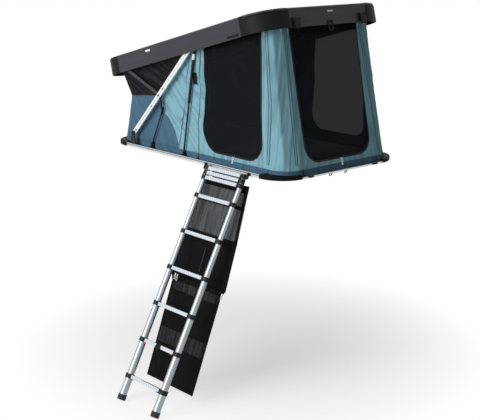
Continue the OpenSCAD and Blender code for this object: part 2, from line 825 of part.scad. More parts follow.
module gas_cylinders() color("#33363a") both_sides() {
  low = spring_length - spring_neck - spring_tube;
  high = spring_length - spring_neck;
  rod_y(roller, eye_r, -link_y - spring_r + 0.1, -link_y + eye_half);
  strut(spring_pivot, spring_angle, -link_y, eye_half, high - 3, spring_length - eye_r + 2);
  difference() {
    strut(spring_pivot, spring_angle, -link_y, spring_r, low, high);
    strut(spring_pivot, spring_angle, -link_y, spring_rod_r + 0.06, low - 1, low + gland + 1);
    strut(spring_pivot, spring_angle, -link_y, spring_r - 2, low + gland, high - 5);
  }
}

// Place in the ladder's frame: origin on the top rung, stiles along Z
module on_ladder(s = 0) {
  translate([ladder_x, hook_y, hook_z]) rotate([-ladder_lean, 0, 0])
    translate([0, 0, -s]) children();
}

// Hollow tread, drawn across its depth and height
module tread_2d() {
  difference() {
    translate([-tread_height / 2, -tread_depth / 2]) square([tread_height, tread_depth]);
    translate([1.8 - tread_height / 2, 1.8 - tread_depth / 2])
      square([tread_height - 3.6, tread_depth - 3.6]);
    for (y = [-14:7:14]) translate([tread_height / 2 - 0.7, y - 0.75]) square([2, 1.5]);
  }
}

module ladder_section(k) color(silver) on_ladder(rung_s(k)) {
  r = tube_out(k);
  low = k < 9 ? tube_length : foot_drop - 8;
  high = collar_height / 2 - collar_cap;
  reach = half_gauge - r - collar_wall - 3;
  for (x = [-half_gauge, half_gauge]) translate([x, 0, -low]) difference() {
    cylinder(r = r, h = low + high, $fn = 64);
    translate([0, 0, -1]) cylinder(r = r - tube_wall, h = low + high + 2, $fn = 64);
  }
  translate([-reach, 0, 0]) rotate([0, 90, 0]) linear_extrude(2 * reach) tread_2d();
}

module ladder_collars(k) color(black) on_ladder(rung_s(k)) {
  r = tube_out(k);
  h = collar_height;
  inner = k == 1 ? 6 : tube_out(k - 1) + 0.4;
  for (m = [0, 1]) mirror([m, 0, 0]) translate([-half_gauge, 0, 0]) difference() {
    union() {
      translate([0, 0, -h / 2]) cylinder(r = r + collar_wall, h = h, $fn = 64);
      translate([0, -12, -12]) cube([r + collar_wall + 3, 24, 24]);
      if (k == 1) translate([-boss_reach, 0, 0]) rotate([0, 90, 0]) cylinder(r = 11, h = boss_reach - r);
    }
    translate([0, 0, -h / 2 - 1]) cylinder(r = r + glue, h = h + 1 - collar_cap, $fn = 64);
    translate([0, 0, -h / 2]) cylinder(r = inner, h = h + 1, $fn = 64);
    if (k == 1) translate([-boss_reach - 1, 0, 0]) rotate([0, 90, 0])
      cylinder(r = hook_pin_r + pin_clear, h = 13);
  }
}

module ladder_section_1() ladder_section(1);
module ladder_section_2() ladder_section(2);
module ladder_section_3() ladder_section(3);
module ladder_section_4() ladder_section(4);
module ladder_section_5() ladder_section(5);
module ladder_section_6() ladder_section(6);
module ladder_section_7() ladder_section(7);
module ladder_section_8() ladder_section(8);
module ladder_section_9() ladder_section(9);
module ladder_collars_1() ladder_collars(1);
module ladder_collars_2() ladder_collars(2);
module ladder_collars_3() ladder_collars(3);
module ladder_collars_4() ladder_collars(4);
module ladder_collars_5() ladder_collars(5);
module ladder_collars_6() ladder_collars(6);
module ladder_collars_7() ladder_collars(7);
module ladder_collars_8() ladder_collars(8);
module ladder_collars_9() ladder_collars(9);

module ladder_feet() color(black) on_ladder(rung_s(9) + foot_drop)
  for (x = [-half_gauge, half_gauge]) translate([x, 0, 0]) difference() {
    cylinder(r = tube_out(9) + 4, h = foot_height, $fn = 64);
    translate([0, 0, 8 - glue]) cylinder(r = tube_out(9) + glue, h = foot_height, $fn = 64);
  }

// Place in the organiser's frame: origin on its top edge, hanging along -Z
module on_organiser() {
  on_ladder() translate([organiser_shift, organiser_y, -organiser_top])
    rotate([ladder_lean - organiser_lean, 0, 0]) children();
}

// Layer sewn on the organiser's face between two depths, with upright folds
module folded_layer(s0, s1, depth, folds, thick) {
  n = 12 * folds;
  w = organiser_width - 30;
  translate([0, 0, -s1]) linear_extrude(s1 - s0)
    polygon(concat(
      [[-w / 2, 0]],
      [for (i = [0:n]) [-w / 2 + w * i / n, -thick - depth * pow(sin(180 * folds * i / n), 2)]],
      [[w / 2, 0]]));
}

module organiser_sheet() color(black) {
  on_organiser() {
    w = organiser_width;
    edge = [[w / 2 - 12, 0], [w / 2 + 24, -rows[1]], [w / 2 + 42, -rows[3]],
      [w / 2 + 12, -rows[4]], [w / 2, -organiser_length]];
    translate([0, organiser_sheet_t, 0]) rotate([90, 0, 0]) linear_extrude(organiser_sheet_t)
      polygon(concat(edge, [for (i = [4:-1:0]) [-edge[i][0], edge[i][1]]]));
    translate([-w / 2 + 12, -4, -rows[0]]) cube([w - 24, 4, rows[0]]);
    for (i = [1, 3]) translate([-w / 2, -4, -rows[i + 1]]) cube([w, 4, rows[i + 1] - rows[i]]);
  }
  for (x = [-120, 120]) on_ladder() translate([x - 13, 0, 0]) rotate([90, 0, 90])
    linear_extrude(26) polygon([[tread_depth / 2, 8], [tread_depth / 2, -10],
      [organiser_y - 1, -organiser_top - 2], [organiser_y + 1.6, -organiser_top],
      [tread_depth / 2 + 2, -8], [tread_depth / 2 + 2, 8]]);
}

module organiser_mesh() color("#4a4d50") on_organiser() {
  folded_layer(rows[0], rows[1], pleat_depth, 5, 3);
  folded_layer(rows[4], rows[5], pleat_depth * 0.6, 5, 3);
  folded_layer(rows[6], rows[7], pleat_depth * 0.6, 5, 3);
}

module organiser_pockets() color("#1f2022") on_organiser() {
  folded_layer(rows[2], rows[3], 6, 2, 4);
  folded_layer(rows[5], rows[6], 8, 2, 4);
  folded_layer(rows[7], rows[8], 8, 2, 4);
}

mount_channels();
floor_panel();
side_rails();
end_rails();
base_corners();
keder_rail();
mattress();
link_brackets();
ladder_hooks();
latch_keepers();
canvas_band();
canvas_sides();
canvas_rear();
canvas_front();
canvas_gusset();
mesh_sides();
mesh_rear();
side_skirts();
end_skirts();
rear_caps();
front_caps();
roof_panel();
roof_liner();
edge_strips();
lid_keder();
roller_tracks();
lid_brackets();
latch_housings();
pull_strap();
latch_lever_left();
latch_lever_right();
lift_arms();
rollers();
brace_arms();
tie_rods();
gas_rods();
gas_cylinders();
ladder_section_1();
ladder_section_2();
ladder_section_3();
ladder_section_4();
ladder_section_5();
ladder_section_6();
ladder_section_7();
ladder_section_8();
ladder_section_9();
ladder_collars_1();
ladder_collars_2();
ladder_collars_3();
ladder_collars_4();
ladder_collars_5();
ladder_collars_6();
ladder_collars_7();
ladder_collars_8();
ladder_collars_9();
ladder_feet();
organiser_sheet();
organiser_mesh();
organiser_pockets();
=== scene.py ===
"""Looks of a roof top tent: a hard lid on side linkages, fabric walls, ladder and organiser.

Shapes are worked out in millimetres in the frame of the solids: X runs along the tent with the tall
rear end at +X, the ladder is on the -Y side, Z is up, and the origin lies under the mounting channels.
"""

import math

import bmesh
import bpy
from mathutils import Matrix, Vector, noise


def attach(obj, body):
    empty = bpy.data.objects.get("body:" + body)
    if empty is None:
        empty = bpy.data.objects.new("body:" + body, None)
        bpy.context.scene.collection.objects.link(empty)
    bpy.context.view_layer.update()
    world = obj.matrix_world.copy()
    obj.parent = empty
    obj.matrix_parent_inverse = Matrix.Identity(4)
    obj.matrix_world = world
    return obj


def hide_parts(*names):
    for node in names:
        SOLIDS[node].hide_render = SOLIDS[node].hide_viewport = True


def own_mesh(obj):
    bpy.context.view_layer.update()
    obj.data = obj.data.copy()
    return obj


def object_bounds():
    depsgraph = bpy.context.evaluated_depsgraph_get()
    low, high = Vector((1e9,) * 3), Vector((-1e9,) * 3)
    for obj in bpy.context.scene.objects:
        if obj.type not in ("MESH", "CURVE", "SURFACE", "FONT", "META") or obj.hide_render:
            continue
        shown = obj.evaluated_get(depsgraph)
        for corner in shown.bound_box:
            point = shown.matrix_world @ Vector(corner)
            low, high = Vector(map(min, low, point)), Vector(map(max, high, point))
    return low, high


bl_info = {
    "name": "Roof top tent",
    "version": (1, 0, 0),
    "blender": (4, 5, 0),
    "location": "View3D > Sidebar > Roof tent",
    "description": "Dresses the solids of a roof top tent with fabric, finishes and small parts",
    "category": "Object",
}

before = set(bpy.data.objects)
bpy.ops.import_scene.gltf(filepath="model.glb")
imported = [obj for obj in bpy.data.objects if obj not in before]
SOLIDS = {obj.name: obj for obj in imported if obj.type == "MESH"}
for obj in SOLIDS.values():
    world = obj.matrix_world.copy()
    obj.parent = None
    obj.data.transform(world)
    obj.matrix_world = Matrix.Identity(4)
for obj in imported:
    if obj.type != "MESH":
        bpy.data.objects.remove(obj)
SOLIDS_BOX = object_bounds()

# Base tray and walls
HALF_LENGTH = 1050.0
HALF_WIDTH = 650.0
FLOOR_Z = 26.0
BAND_Z = 77.0
FOLD_Z = 432.0
WALL_Y = 580.0
WALL_FRONT = -937.0
WALL_REAR = 1024.0
FOLD_FRONT = -856.0
FOLD_RISE = 0.11
SILL_Z = 117.0
REAR_CORNER = 165.0
# Radii of the walls' front corners at the foot, at the fold and under the lid
FRONT_CORNER = 24.0
FOLD_CORNER = 42.0
BROW_CORNER = 130.0
# Thickness of the canvas, and the angle past which an edge of cloth shows as a sharp one
CLOTH = 1.2
CLOTH_SHARP = 80.0
# Windows: edges, radii of the lower corners, lean or flare, and height of the top
SIDE_WINDOW = (120.0, 767.0)
SIDE_WINDOW_RADII = (155.0, 140.0)
SIDE_WINDOW_LEAN = 44.0
SIDE_WINDOW_RISE = 34.0
REAR_WINDOW_HALF = 346.0
REAR_WINDOW_RADIUS = 130.0
REAR_WINDOW_FLARE = 6.0
REAR_WINDOW_TOP = 1120.0
# Waves of the side windows' loose front edge: depth to the rear, height and half width
WINDOW_WAVES = ((11.0, 587, 60), (-28.0, 293, 80), (-6.0, 714, 50))
# Front panels: rear edge, top of their lower part, and start and reach of its bow
PANEL_REAR = -400.0
PANEL_TOP = 338.0
PANEL_BOW = (-430.0, 212.0)
# Lid, in its own frame: the origin is the middle of its rear lower edge
LID_LENGTH = 2100.0
LID_CORNER = 240.0
LID_TILT = math.radians(14.95)
LID_REAR = (879.8, 1094.35)
CAP_SIDE = 266.0
CAP_END = 243.0
WALL_TOP_V = 60.0
WALL_TOP_REAR = 74.0
WALL_TOP_FRONT = 122.0
# Linkage pivots in X and Z
ARM_PIVOT = (-741.02, 138.79)
BRACE_PIVOT = (-394.69, 488.51)
ROLLER = (33.7, 921.05)
SPRING_PIVOT = (-118.0, 66.0)
# Gas spring: distance from the tent's middle, length of its tube, and gap from the tube to the upper eye
SPRING_Y = 597.5
SPRING_TUBE = 440.0
SPRING_EYE = 22.0
# The gusset's rear seam runs from the fold up to the roller
GUSSET_FOOT = -475.0
GUSSET_TOP = ROLLER[0] - 30
# Ladder and organiser
LADDER_TOP = (462.5, -663.8, 8.8)
LADDER_LEAN = math.radians(27.65)
LADDER_GAUGE = 411.0
RUNGS = (0.0, 37.0, 74.0, 222.0, 512.0, 802.0, 1092.0, 1382.0, 1672.0)
ORGANISER_LEAN = math.radians(21.0)
# Half width of the organiser at distances down it, and its rows
ORGANISER_EDGE = ((0.0, 264.0), (418.0, 300.0), (790.0, 318.0), (832.0, 288.0), (1595.0, 276.0))
NET_ROWS = ((58, 418), (832, 902), (1200, 1318))
POCKET_ROWS = ((440, 790), (902, 1200), (1318, 1595))
# Camera of the photograph: place in metres, turn and rise, and focal length in pixels of its width
CAMERA_PLACE = (6.4733, -5.8370, 1.7767)
CAMERA_TURN = math.radians(48.5)
CAMERA_RISE = math.radians(14.55)
FOCAL_PIXELS = 1085.47
PICTURE_WIDTH = 480


def linear(code):
    """Linear colour with alpha from an sRGB hex value."""
    shares = [int(code[i:i + 2], 16) / 255 for i in (1, 3, 5)]
    return tuple(c / 12.92 if c <= 0.04045 else ((c + 0.055) / 1.055) ** 2.4 for c in shares) + (1.0,)


def colour(name, description, code):
    """Colour setting whose default is an sRGB hex value."""
    return bpy.props.FloatVectorProperty(
        name=name, description=description, subtype="COLOR", size=4, min=0.0, max=1.0, default=linear(code))


def distance(name, description, millimetres):
    """Length setting whose default is given in millimetres."""
    return bpy.props.FloatProperty(
        name=name, description=description, unit="LENGTH", subtype="DISTANCE", default=millimetres / 1000)


class RoofTentFabric(bpy.types.PropertyGroup):
    """Colours and shape of the tent's fabric."""

    side_canvas: colour("Side canvas", "Canvas of the side and rear walls", "#7DAAB8")
    front_canvas: colour("Front canvas", "Canvas of the front panels and the band at the foot", "#48677C")
    gusset: colour("Gusset", "Cloth of the folding gusset under the lid's front", "#0E0F12")
    lining: colour("Lining", "Coating on the inside of the canvas", "#1D1F22")
    mesh: colour("Window mesh", "Insect mesh of the windows", "#0F1115")
    mesh_cover: bpy.props.FloatProperty(
        name="Mesh cover", description="Share of the window mesh that is yarn", subtype="FACTOR",
        min=0.0, max=1.0, default=0.86)
    wall_sag: distance("Wall sag", "Depth by which the walls curve in between lid and base", 7.0)
    fold_depth: distance("Fold depth", "Depth of the loose folds in the walls", 5.0)
    organiser: colour("Organiser", "Coated cloth of the organiser", "#0C0D0E")
    organiser_mesh: colour("Organiser mesh", "Netting of the organiser", "#34373A")
    webbing: colour("Webbing", "Woven straps", "#0D0E0F")
    mattress: colour("Mattress", "Knitted mattress cover", "#8D9298")
    liner: colour("Roof liner", "Felt of the padded roof liner", "#4A4E52")


class RoofTentHard(bpy.types.PropertyGroup):
    """Colours of the tent's hard parts."""

    profile_coat: colour("Lid profiles", "Powder coat of the lid's skirt", "#303238")
    moulding: colour("Mouldings", "Grained plastic of the corner caps", "#131416")
    aluminium: colour("Aluminium", "Anodised aluminium of rails and arms", "#EDEFF1")
    ladder: colour("Ladder", "Drawn aluminium of the ladder", "#CDD3DA")
    black_steel: colour("Black steel", "Coating of the brackets and springs", "#0E0F10")
    panel: colour("Sandwich panel", "Embossed skin of the roof and floor panels", "#B4B8BB")
    nylon: colour("Nylon", "Glass-filled nylon of collars and latches", "#0F1011")
    pale_plastic: colour("Pale plastic", "Hooks, pullers and toggles", "#DEE3E5")


class RoofTentStage(bpy.types.PropertyGroup):
    """Light and floor round the tent."""

    floor: colour("Floor", "Floor under the tent", "#F2F2F2")
    key_power: bpy.props.FloatProperty(
        name="Key light", description="Power of the large soft light on the ladder's side",
        unit="POWER", default=610.0)
    fill_power: bpy.props.FloatProperty(
        name="Fill light", description="Power of the soft light on the rear", unit="POWER", default=4.0)
    sky: bpy.props.FloatProperty(
        name="Surrounding light", description="Strength of the even light from all round", default=0.16)


class RoofTentSettings(bpy.types.PropertyGroup):
    """All settings of the tent."""

    fabric: bpy.props.PointerProperty(type=RoofTentFabric, name="Fabric", description="Fabric settings")
    hard: bpy.props.PointerProperty(type=RoofTentHard, name="Hard parts", description="Hard part settings")
    stage: bpy.props.PointerProperty(type=RoofTentStage, name="Stage", description="Stage settings")


def settings():
    """Settings of the current scene."""
    return bpy.context.scene.roof_tent


def add(tree, kind, inputs=None, **attributes):
    """Add a shader node with its attributes, and set or link its inputs."""
    node = tree.nodes.new("ShaderNode" + kind)
    for key, value in attributes.items():
        setattr(node, key, value)
    for key, value in (inputs or {}).items():
        if isinstance(value, bpy.types.NodeSocket):
            tree.links.new(value, node.inputs[key])
        else:
            node.inputs[key].default_value = value
    return node


def start_material(name, base, roughness, metallic=0.0, shine=0.5):
    """New material with its Principled shader set to plain values."""
    material = bpy.data.materials.new(name)
    material.use_nodes = True
    shader = material.node_tree.nodes["Principled BSDF"]
    shader.inputs["Base Color"].default_value = base
    shader.inputs["Roughness"].default_value = roughness
    shader.inputs["Metallic"].default_value = metallic
    shader.inputs["Specular IOR Level"].default_value = shine
    return material, material.node_tree, shader


def per(millimetres):
    """Scale at which a noise pattern has features of this size."""
    return 1000.0 / millimetres


def bands(millimetres):
    """Scale at which the lines of a wave pattern lie this far apart."""
    return 100.0 * math.pi / millimetres


def shade(base, factor):
    """A colour made lighter or darker."""
    return tuple(min(1.0, c * factor) for c in base[:3]) + (1.0,)


def blend_base(tree, shader, share, low, high):
    """Let the base colour go from one colour to another by a share."""
    blend = add(tree, "Mix", {0: share, 6: low, 7: high}, data_type="RGBA")
    tree.links.new(blend.outputs[2], shader.inputs["Base Color"])


def vary_roughness(tree, shader, share, low, high):
    """Let the roughness go from one value to another by a share."""
    rough = add(tree, "MapRange", {0: share, 3: low, 4: high})
    tree.links.new(rough.outputs[0], shader.inputs["Roughness"])


def mottle(tree, shader, vector, base, size, depth):
    """Vary a base colour slowly, as dye, dust and handling do."""
    cloud = add(tree, "TexNoise", {"Vector": vector, "Scale": per(size), "Detail": 4.0, "Roughness": 0.55})
    blend_base(tree, shader, cloud.outputs["Fac"], shade(base, 1.0 - depth), shade(base, 1.0 + depth))


def emboss(tree, shader, height, depth_mm, strength=1.0):
    """Raise a surface by a pattern of a given depth."""
    bump = add(tree, "Bump", {"Height": height, "Distance": depth_mm / 1000, "Strength": strength})
    tree.links.new(bump.outputs["Normal"], shader.inputs["Normal"])


def coordinates(tree, which="Object"):
    """Texture coordinates of a piece."""
    return add(tree, "TexCoord").outputs[which]


def drawn_out(tree, flat, lean, size_mm):
    """Noise on a UV map drawn out to streaks, which lean from upright by an angle."""
    turned = add(tree, "Mapping", {"Vector": flat, "Rotation": (0.0, 0.0, math.radians(lean))})
    drawn = add(tree, "Mapping", {"Vector": turned.outputs[0], "Scale": (1.0, 0.09, 1.0)})
    streaks = add(tree, "TexNoise", {"Vector": drawn.outputs[0], "Scale": per(size_mm), "Detail": 1.5})
    return streaks.outputs["Fac"]


def woven(name, base, thread_mm, roughness, depth=0.06, sheen=0.04, alpha=1.0, shine=0.12, creased=None):
    """Plain woven cloth on the piece's own UV map in metres. Creases have a depth, two leans and a colour
    painted along them: painted shade where that colour is darker than the cloth, painted highlight where it
    is lighter.
    """
    material, tree, shader = start_material(name, base, roughness, shine=shine)
    shader.inputs["Sheen Weight"].default_value = sheen
    shader.inputs["Sheen Roughness"].default_value = 0.5
    shader.inputs["Alpha"].default_value = alpha
    flat = coordinates(tree, "UV")
    mottle(tree, shader, flat, base, 90.0, depth)
    warp = add(tree, "TexWave", {"Vector": flat, "Scale": bands(thread_mm)}, bands_direction="X")
    weft = add(tree, "TexWave", {"Vector": flat, "Scale": bands(thread_mm)}, bands_direction="Y")
    weave = add(tree, "Math", {0: warp.outputs["Fac"], 1: weft.outputs["Fac"]}, operation="MULTIPLY")
    if not creased:
        emboss(tree, shader, weave.outputs[0], 0.25, 0.7)
        return material
    # Creases lean one way near the linkage and another way behind it
    depth_mm, front_lean, rear_lean, painted_crease_colour = creased
    run = add(tree, "SeparateXYZ", {0: flat})
    behind = add(tree, "MapRange", {0: run.outputs["X"], 1: 0.02, 2: 0.12})
    drape = add(tree, "Mix", {0: behind.outputs[0], 2: drawn_out(tree, flat, front_lean, 62.0),
                              3: drawn_out(tree, flat, rear_lean, 80.0)})
    middle = add(tree, "Math", {0: drape.outputs[0], 1: 0.5}, operation="SUBTRACT")
    gap = add(tree, "Math", {0: middle.outputs[0]}, operation="ABSOLUTE")
    # Painted crease lines: along the middle of each crease the base colour goes towards the crease colour,
    # as painted shade on the canvas and painted highlight on the gusset.
    painted_crease_share = add(tree, "MapRange", {0: gap.outputs[0], 1: 0.0, 2: 0.05, 3: 0.8, 4: 0.0})
    plain = shader.inputs["Base Color"].links[0].from_socket
    blend_base(tree, shader, painted_crease_share.outputs[0], plain, painted_crease_colour)
    relief = add(tree, "Math", {0: weave.outputs[0], 1: 0.25 / depth_mm, 2: drape.outputs[0]},
                 operation="MULTIPLY_ADD")
    emboss(tree, shader, relief.outputs[0], depth_mm)
    return material


def netting(name, base, alpha, fold_mm):
    """Gathered netting on the piece's UV map: the light and shade of its folds are painted on as upright
    lighter and darker streaks.
    """
    material, tree, shader = start_material(name, base, 0.85, shine=0.1)
    shader.inputs["Alpha"].default_value = alpha
    upright = add(tree, "Mapping", {"Vector": coordinates(tree, "UV"), "Scale": (1.0, 0.09, 1.0)})
    folds = add(tree, "TexNoise", {"Vector": upright.outputs[0], "Scale": per(fold_mm), "Detail": 4.0})
    # Painted light and shade of the folds: from nearly black in the shaded streaks to pale grey in the lit
    # ones.
    light = add(tree, "MapRange", {0: folds.outputs["Fac"], 1: 0.36, 2: 0.66})
    blend_base(tree, shader, light.outputs[0], shade(base, 0.12), shade(base, 2.4))
    emboss(tree, shader, folds.outputs["Fac"], 1.5, 0.6)
    return material


def stitched(name, base, thread, gap_mm):
    """Sewn tape: the UV map runs along the tape in metres, with 0 to 1 across it."""
    material, tree, shader = start_material(name, base, 0.8, shine=0.25)
    flat = add(tree, "SeparateXYZ", {0: coordinates(tree, "UV")})
    run = add(tree, "Math", {0: flat.outputs["X"], 1: per(gap_mm)}, operation="MULTIPLY")
    dash = add(tree, "Math", {0: run.outputs[0]}, operation="FRACT")
    on = add(tree, "Math", {0: dash.outputs[0], 1: 0.62}, operation="LESS_THAN")
    middle = add(tree, "Math", {0: flat.outputs["Y"], 1: 0.5}, operation="SUBTRACT")
    side = add(tree, "Math", {0: middle.outputs[0]}, operation="ABSOLUTE")
    row = add(tree, "Math", {0: side.outputs[0], 1: 0.3, 2: 0.06}, operation="COMPARE")
    seam = add(tree, "Math", {0: on.outputs[0], 1: row.outputs[0]}, operation="MULTIPLY")
    blend_base(tree, shader, seam.outputs[0], base, thread)
    emboss(tree, shader, seam.outputs[0], 0.3)
    return material


def zip_tape(name, base):
    """Coil zip: black teeth across a narrow tape, drawn 9 mm apart so that they show."""
    material, tree, shader = start_material(name, base, 0.6)
    flat = add(tree, "SeparateXYZ", {0: coordinates(tree, "UV")})
    run = add(tree, "Math", {0: flat.outputs["X"], 1: per(9.0)}, operation="MULTIPLY")
    tooth = add(tree, "Math", {0: run.outputs[0]}, operation="FRACT")
    on = add(tree, "Math", {0: tooth.outputs[0], 1: 0.6}, operation="LESS_THAN")
    middle = add(tree, "Math", {0: flat.outputs["Y"], 1: 0.5, 2: 0.22}, operation="COMPARE")
    coil = add(tree, "Math", {0: on.outputs[0], 1: middle.outputs[0]}, operation="MULTIPLY")
    blend_base(tree, shader, coil.outputs[0], base, linear("#0E0F10"))
    emboss(tree, shader, coil.outputs[0], 0.8)
    return material


def powder_coat(name, base):
    """Powder-coated aluminium: satin, with the fine orange peel of baked powder."""
    material, tree, shader = start_material(name, base, 0.42, shine=0.25)
    where = coordinates(tree)
    mottle(tree, shader, where, base, 220.0, 0.05)
    peel = add(tree, "TexNoise", {"Vector": where, "Scale": per(3.0), "Detail": 2.0})
    emboss(tree, shader, peel.outputs["Fac"], 0.12, 0.5)
    return material


def grained(name, base, grain_mm, roughness, shine=0.2):
    """Moulded black plastic with an etched leather grain."""
    material, tree, shader = start_material(name, base, roughness, shine=shine)
    where = coordinates(tree)
    mottle(tree, shader, where, base, 160.0, 0.10)
    grain = add(tree, "TexVoronoi", {"Vector": where, "Scale": per(grain_mm)}, feature="SMOOTH_F1")
    emboss(tree, shader, grain.outputs["Distance"], 0.25, 0.6)
    return material


def anodised(name, base, roughness, streak, streak_mm):
    """Extruded or drawn aluminium, anodised: bright, with fine die lines along its length."""
    material, tree, shader = start_material(name, base, roughness, 0.8)
    where = coordinates(tree)
    turned = add(tree, "Mapping", {"Vector": where, "Rotation": streak, "Scale": (1.0, 1.0, 0.02)})
    lines = add(tree, "TexNoise", {"Vector": turned.outputs[0], "Scale": per(streak_mm), "Detail": 3.0})
    vary_roughness(tree, shader, lines.outputs["Fac"], roughness - 0.06, roughness + 0.10)
    blend_base(tree, shader, lines.outputs["Fac"], shade(base, 0.93), shade(base, 1.04))
    emboss(tree, shader, lines.outputs["Fac"], 0.04, 0.5)
    return material


def coated_steel(name, base):
    """Electro-coated steel: thin black paint, a little worn and dusty on broad faces."""
    material, tree, shader = start_material(name, base, 0.38, shine=0.25)
    where = coordinates(tree)
    mottle(tree, shader, where, base, 40.0, 0.15)
    dust = add(tree, "TexNoise", {"Vector": where, "Scale": per(12.0), "Detail": 5.0})
    vary_roughness(tree, shader, dust.outputs["Fac"], 0.28, 0.5)
    return material


def bright_steel(name):
    """Hard-chromed steel rod: mirror bright."""
    material, tree, shader = start_material(name, linear("#E2E4E6"), 0.1, 1.0)
    wipe = add(tree, "TexNoise", {"Vector": coordinates(tree), "Scale": per(25.0), "Detail": 2.0})
    vary_roughness(tree, shader, wipe.outputs["Fac"], 0.06, 0.16)
    return material


def embossed_panel(name, base):
    """Aluminium skin of a sandwich panel, rolled with a stucco pattern about 6 mm across."""
    material, tree, shader = start_material(name, base, 0.45, 0.7)
    where = coordinates(tree)
    stucco = add(tree, "TexVoronoi", {"Vector": where, "Scale": per(6.0)}, feature="SMOOTH_F1")
    mottle(tree, shader, where, base, 300.0, 0.04)
    emboss(tree, shader, stucco.outputs["Distance"], 0.5, 0.6)
    return material


def quilted_cloth(name, base, loop_mm):
    """Brushed knit over foam: matt and soft, with a pile about as wide as its loops."""
    material, tree, shader = start_material(name, base, 0.9, shine=0.2)
    shader.inputs["Sheen Weight"].default_value = 0.35
    where = coordinates(tree)
    mottle(tree, shader, where, base, 120.0, 0.07)
    pile = add(tree, "TexNoise", {"Vector": where, "Scale": per(loop_mm), "Detail": 3.0})
    emboss(tree, shader, pile.outputs["Fac"], 0.5, 0.5)
    return material


def ribbed_rubber(name):
    """Black rubber with moulded ribs 6 mm apart."""
    base = linear("#141516")
    material, tree, shader = start_material(name, base, 0.75)
    where = coordinates(tree)
    mottle(tree, shader, where, base, 30.0, 0.15)
    ribs = add(tree, "TexWave", {"Vector": where, "Scale": bands(6.0)}, bands_direction="Z")
    emboss(tree, shader, ribs.outputs["Fac"], 0.4)
    return material


def smooth_plastic(name, base, roughness=0.4):
    """Small moulded plastic parts with faint flow marks."""
    material, tree, shader = start_material(name, base, roughness, shine=0.15)
    mottle(tree, shader, coordinates(tree), base, 15.0, 0.05)
    return material


def tread_aluminium(name, base):
    """Extruded ladder tread: anodised, with slanting anti-slip ridges 11 mm apart."""
    material, tree, shader = start_material(name, base, 0.34, 1.0)
    where = coordinates(tree)
    slanted = add(tree, "Mapping", {"Vector": where, "Scale": (1.0, 0.0, 0.8)})
    ridges = add(tree, "TexWave", {"Vector": slanted.outputs[0], "Scale": bands(11.0)},
                 bands_direction="DIAGONAL")
    # Painted shade and highlight of the ridges: darker in the grooves between them, a little lighter on
    # their crests.
    blend_base(tree, shader, ridges.outputs["Fac"], shade(base, 0.84), shade(base, 1.05))
    emboss(tree, shader, ridges.outputs["Fac"], 0.5, 0.5)
    return material


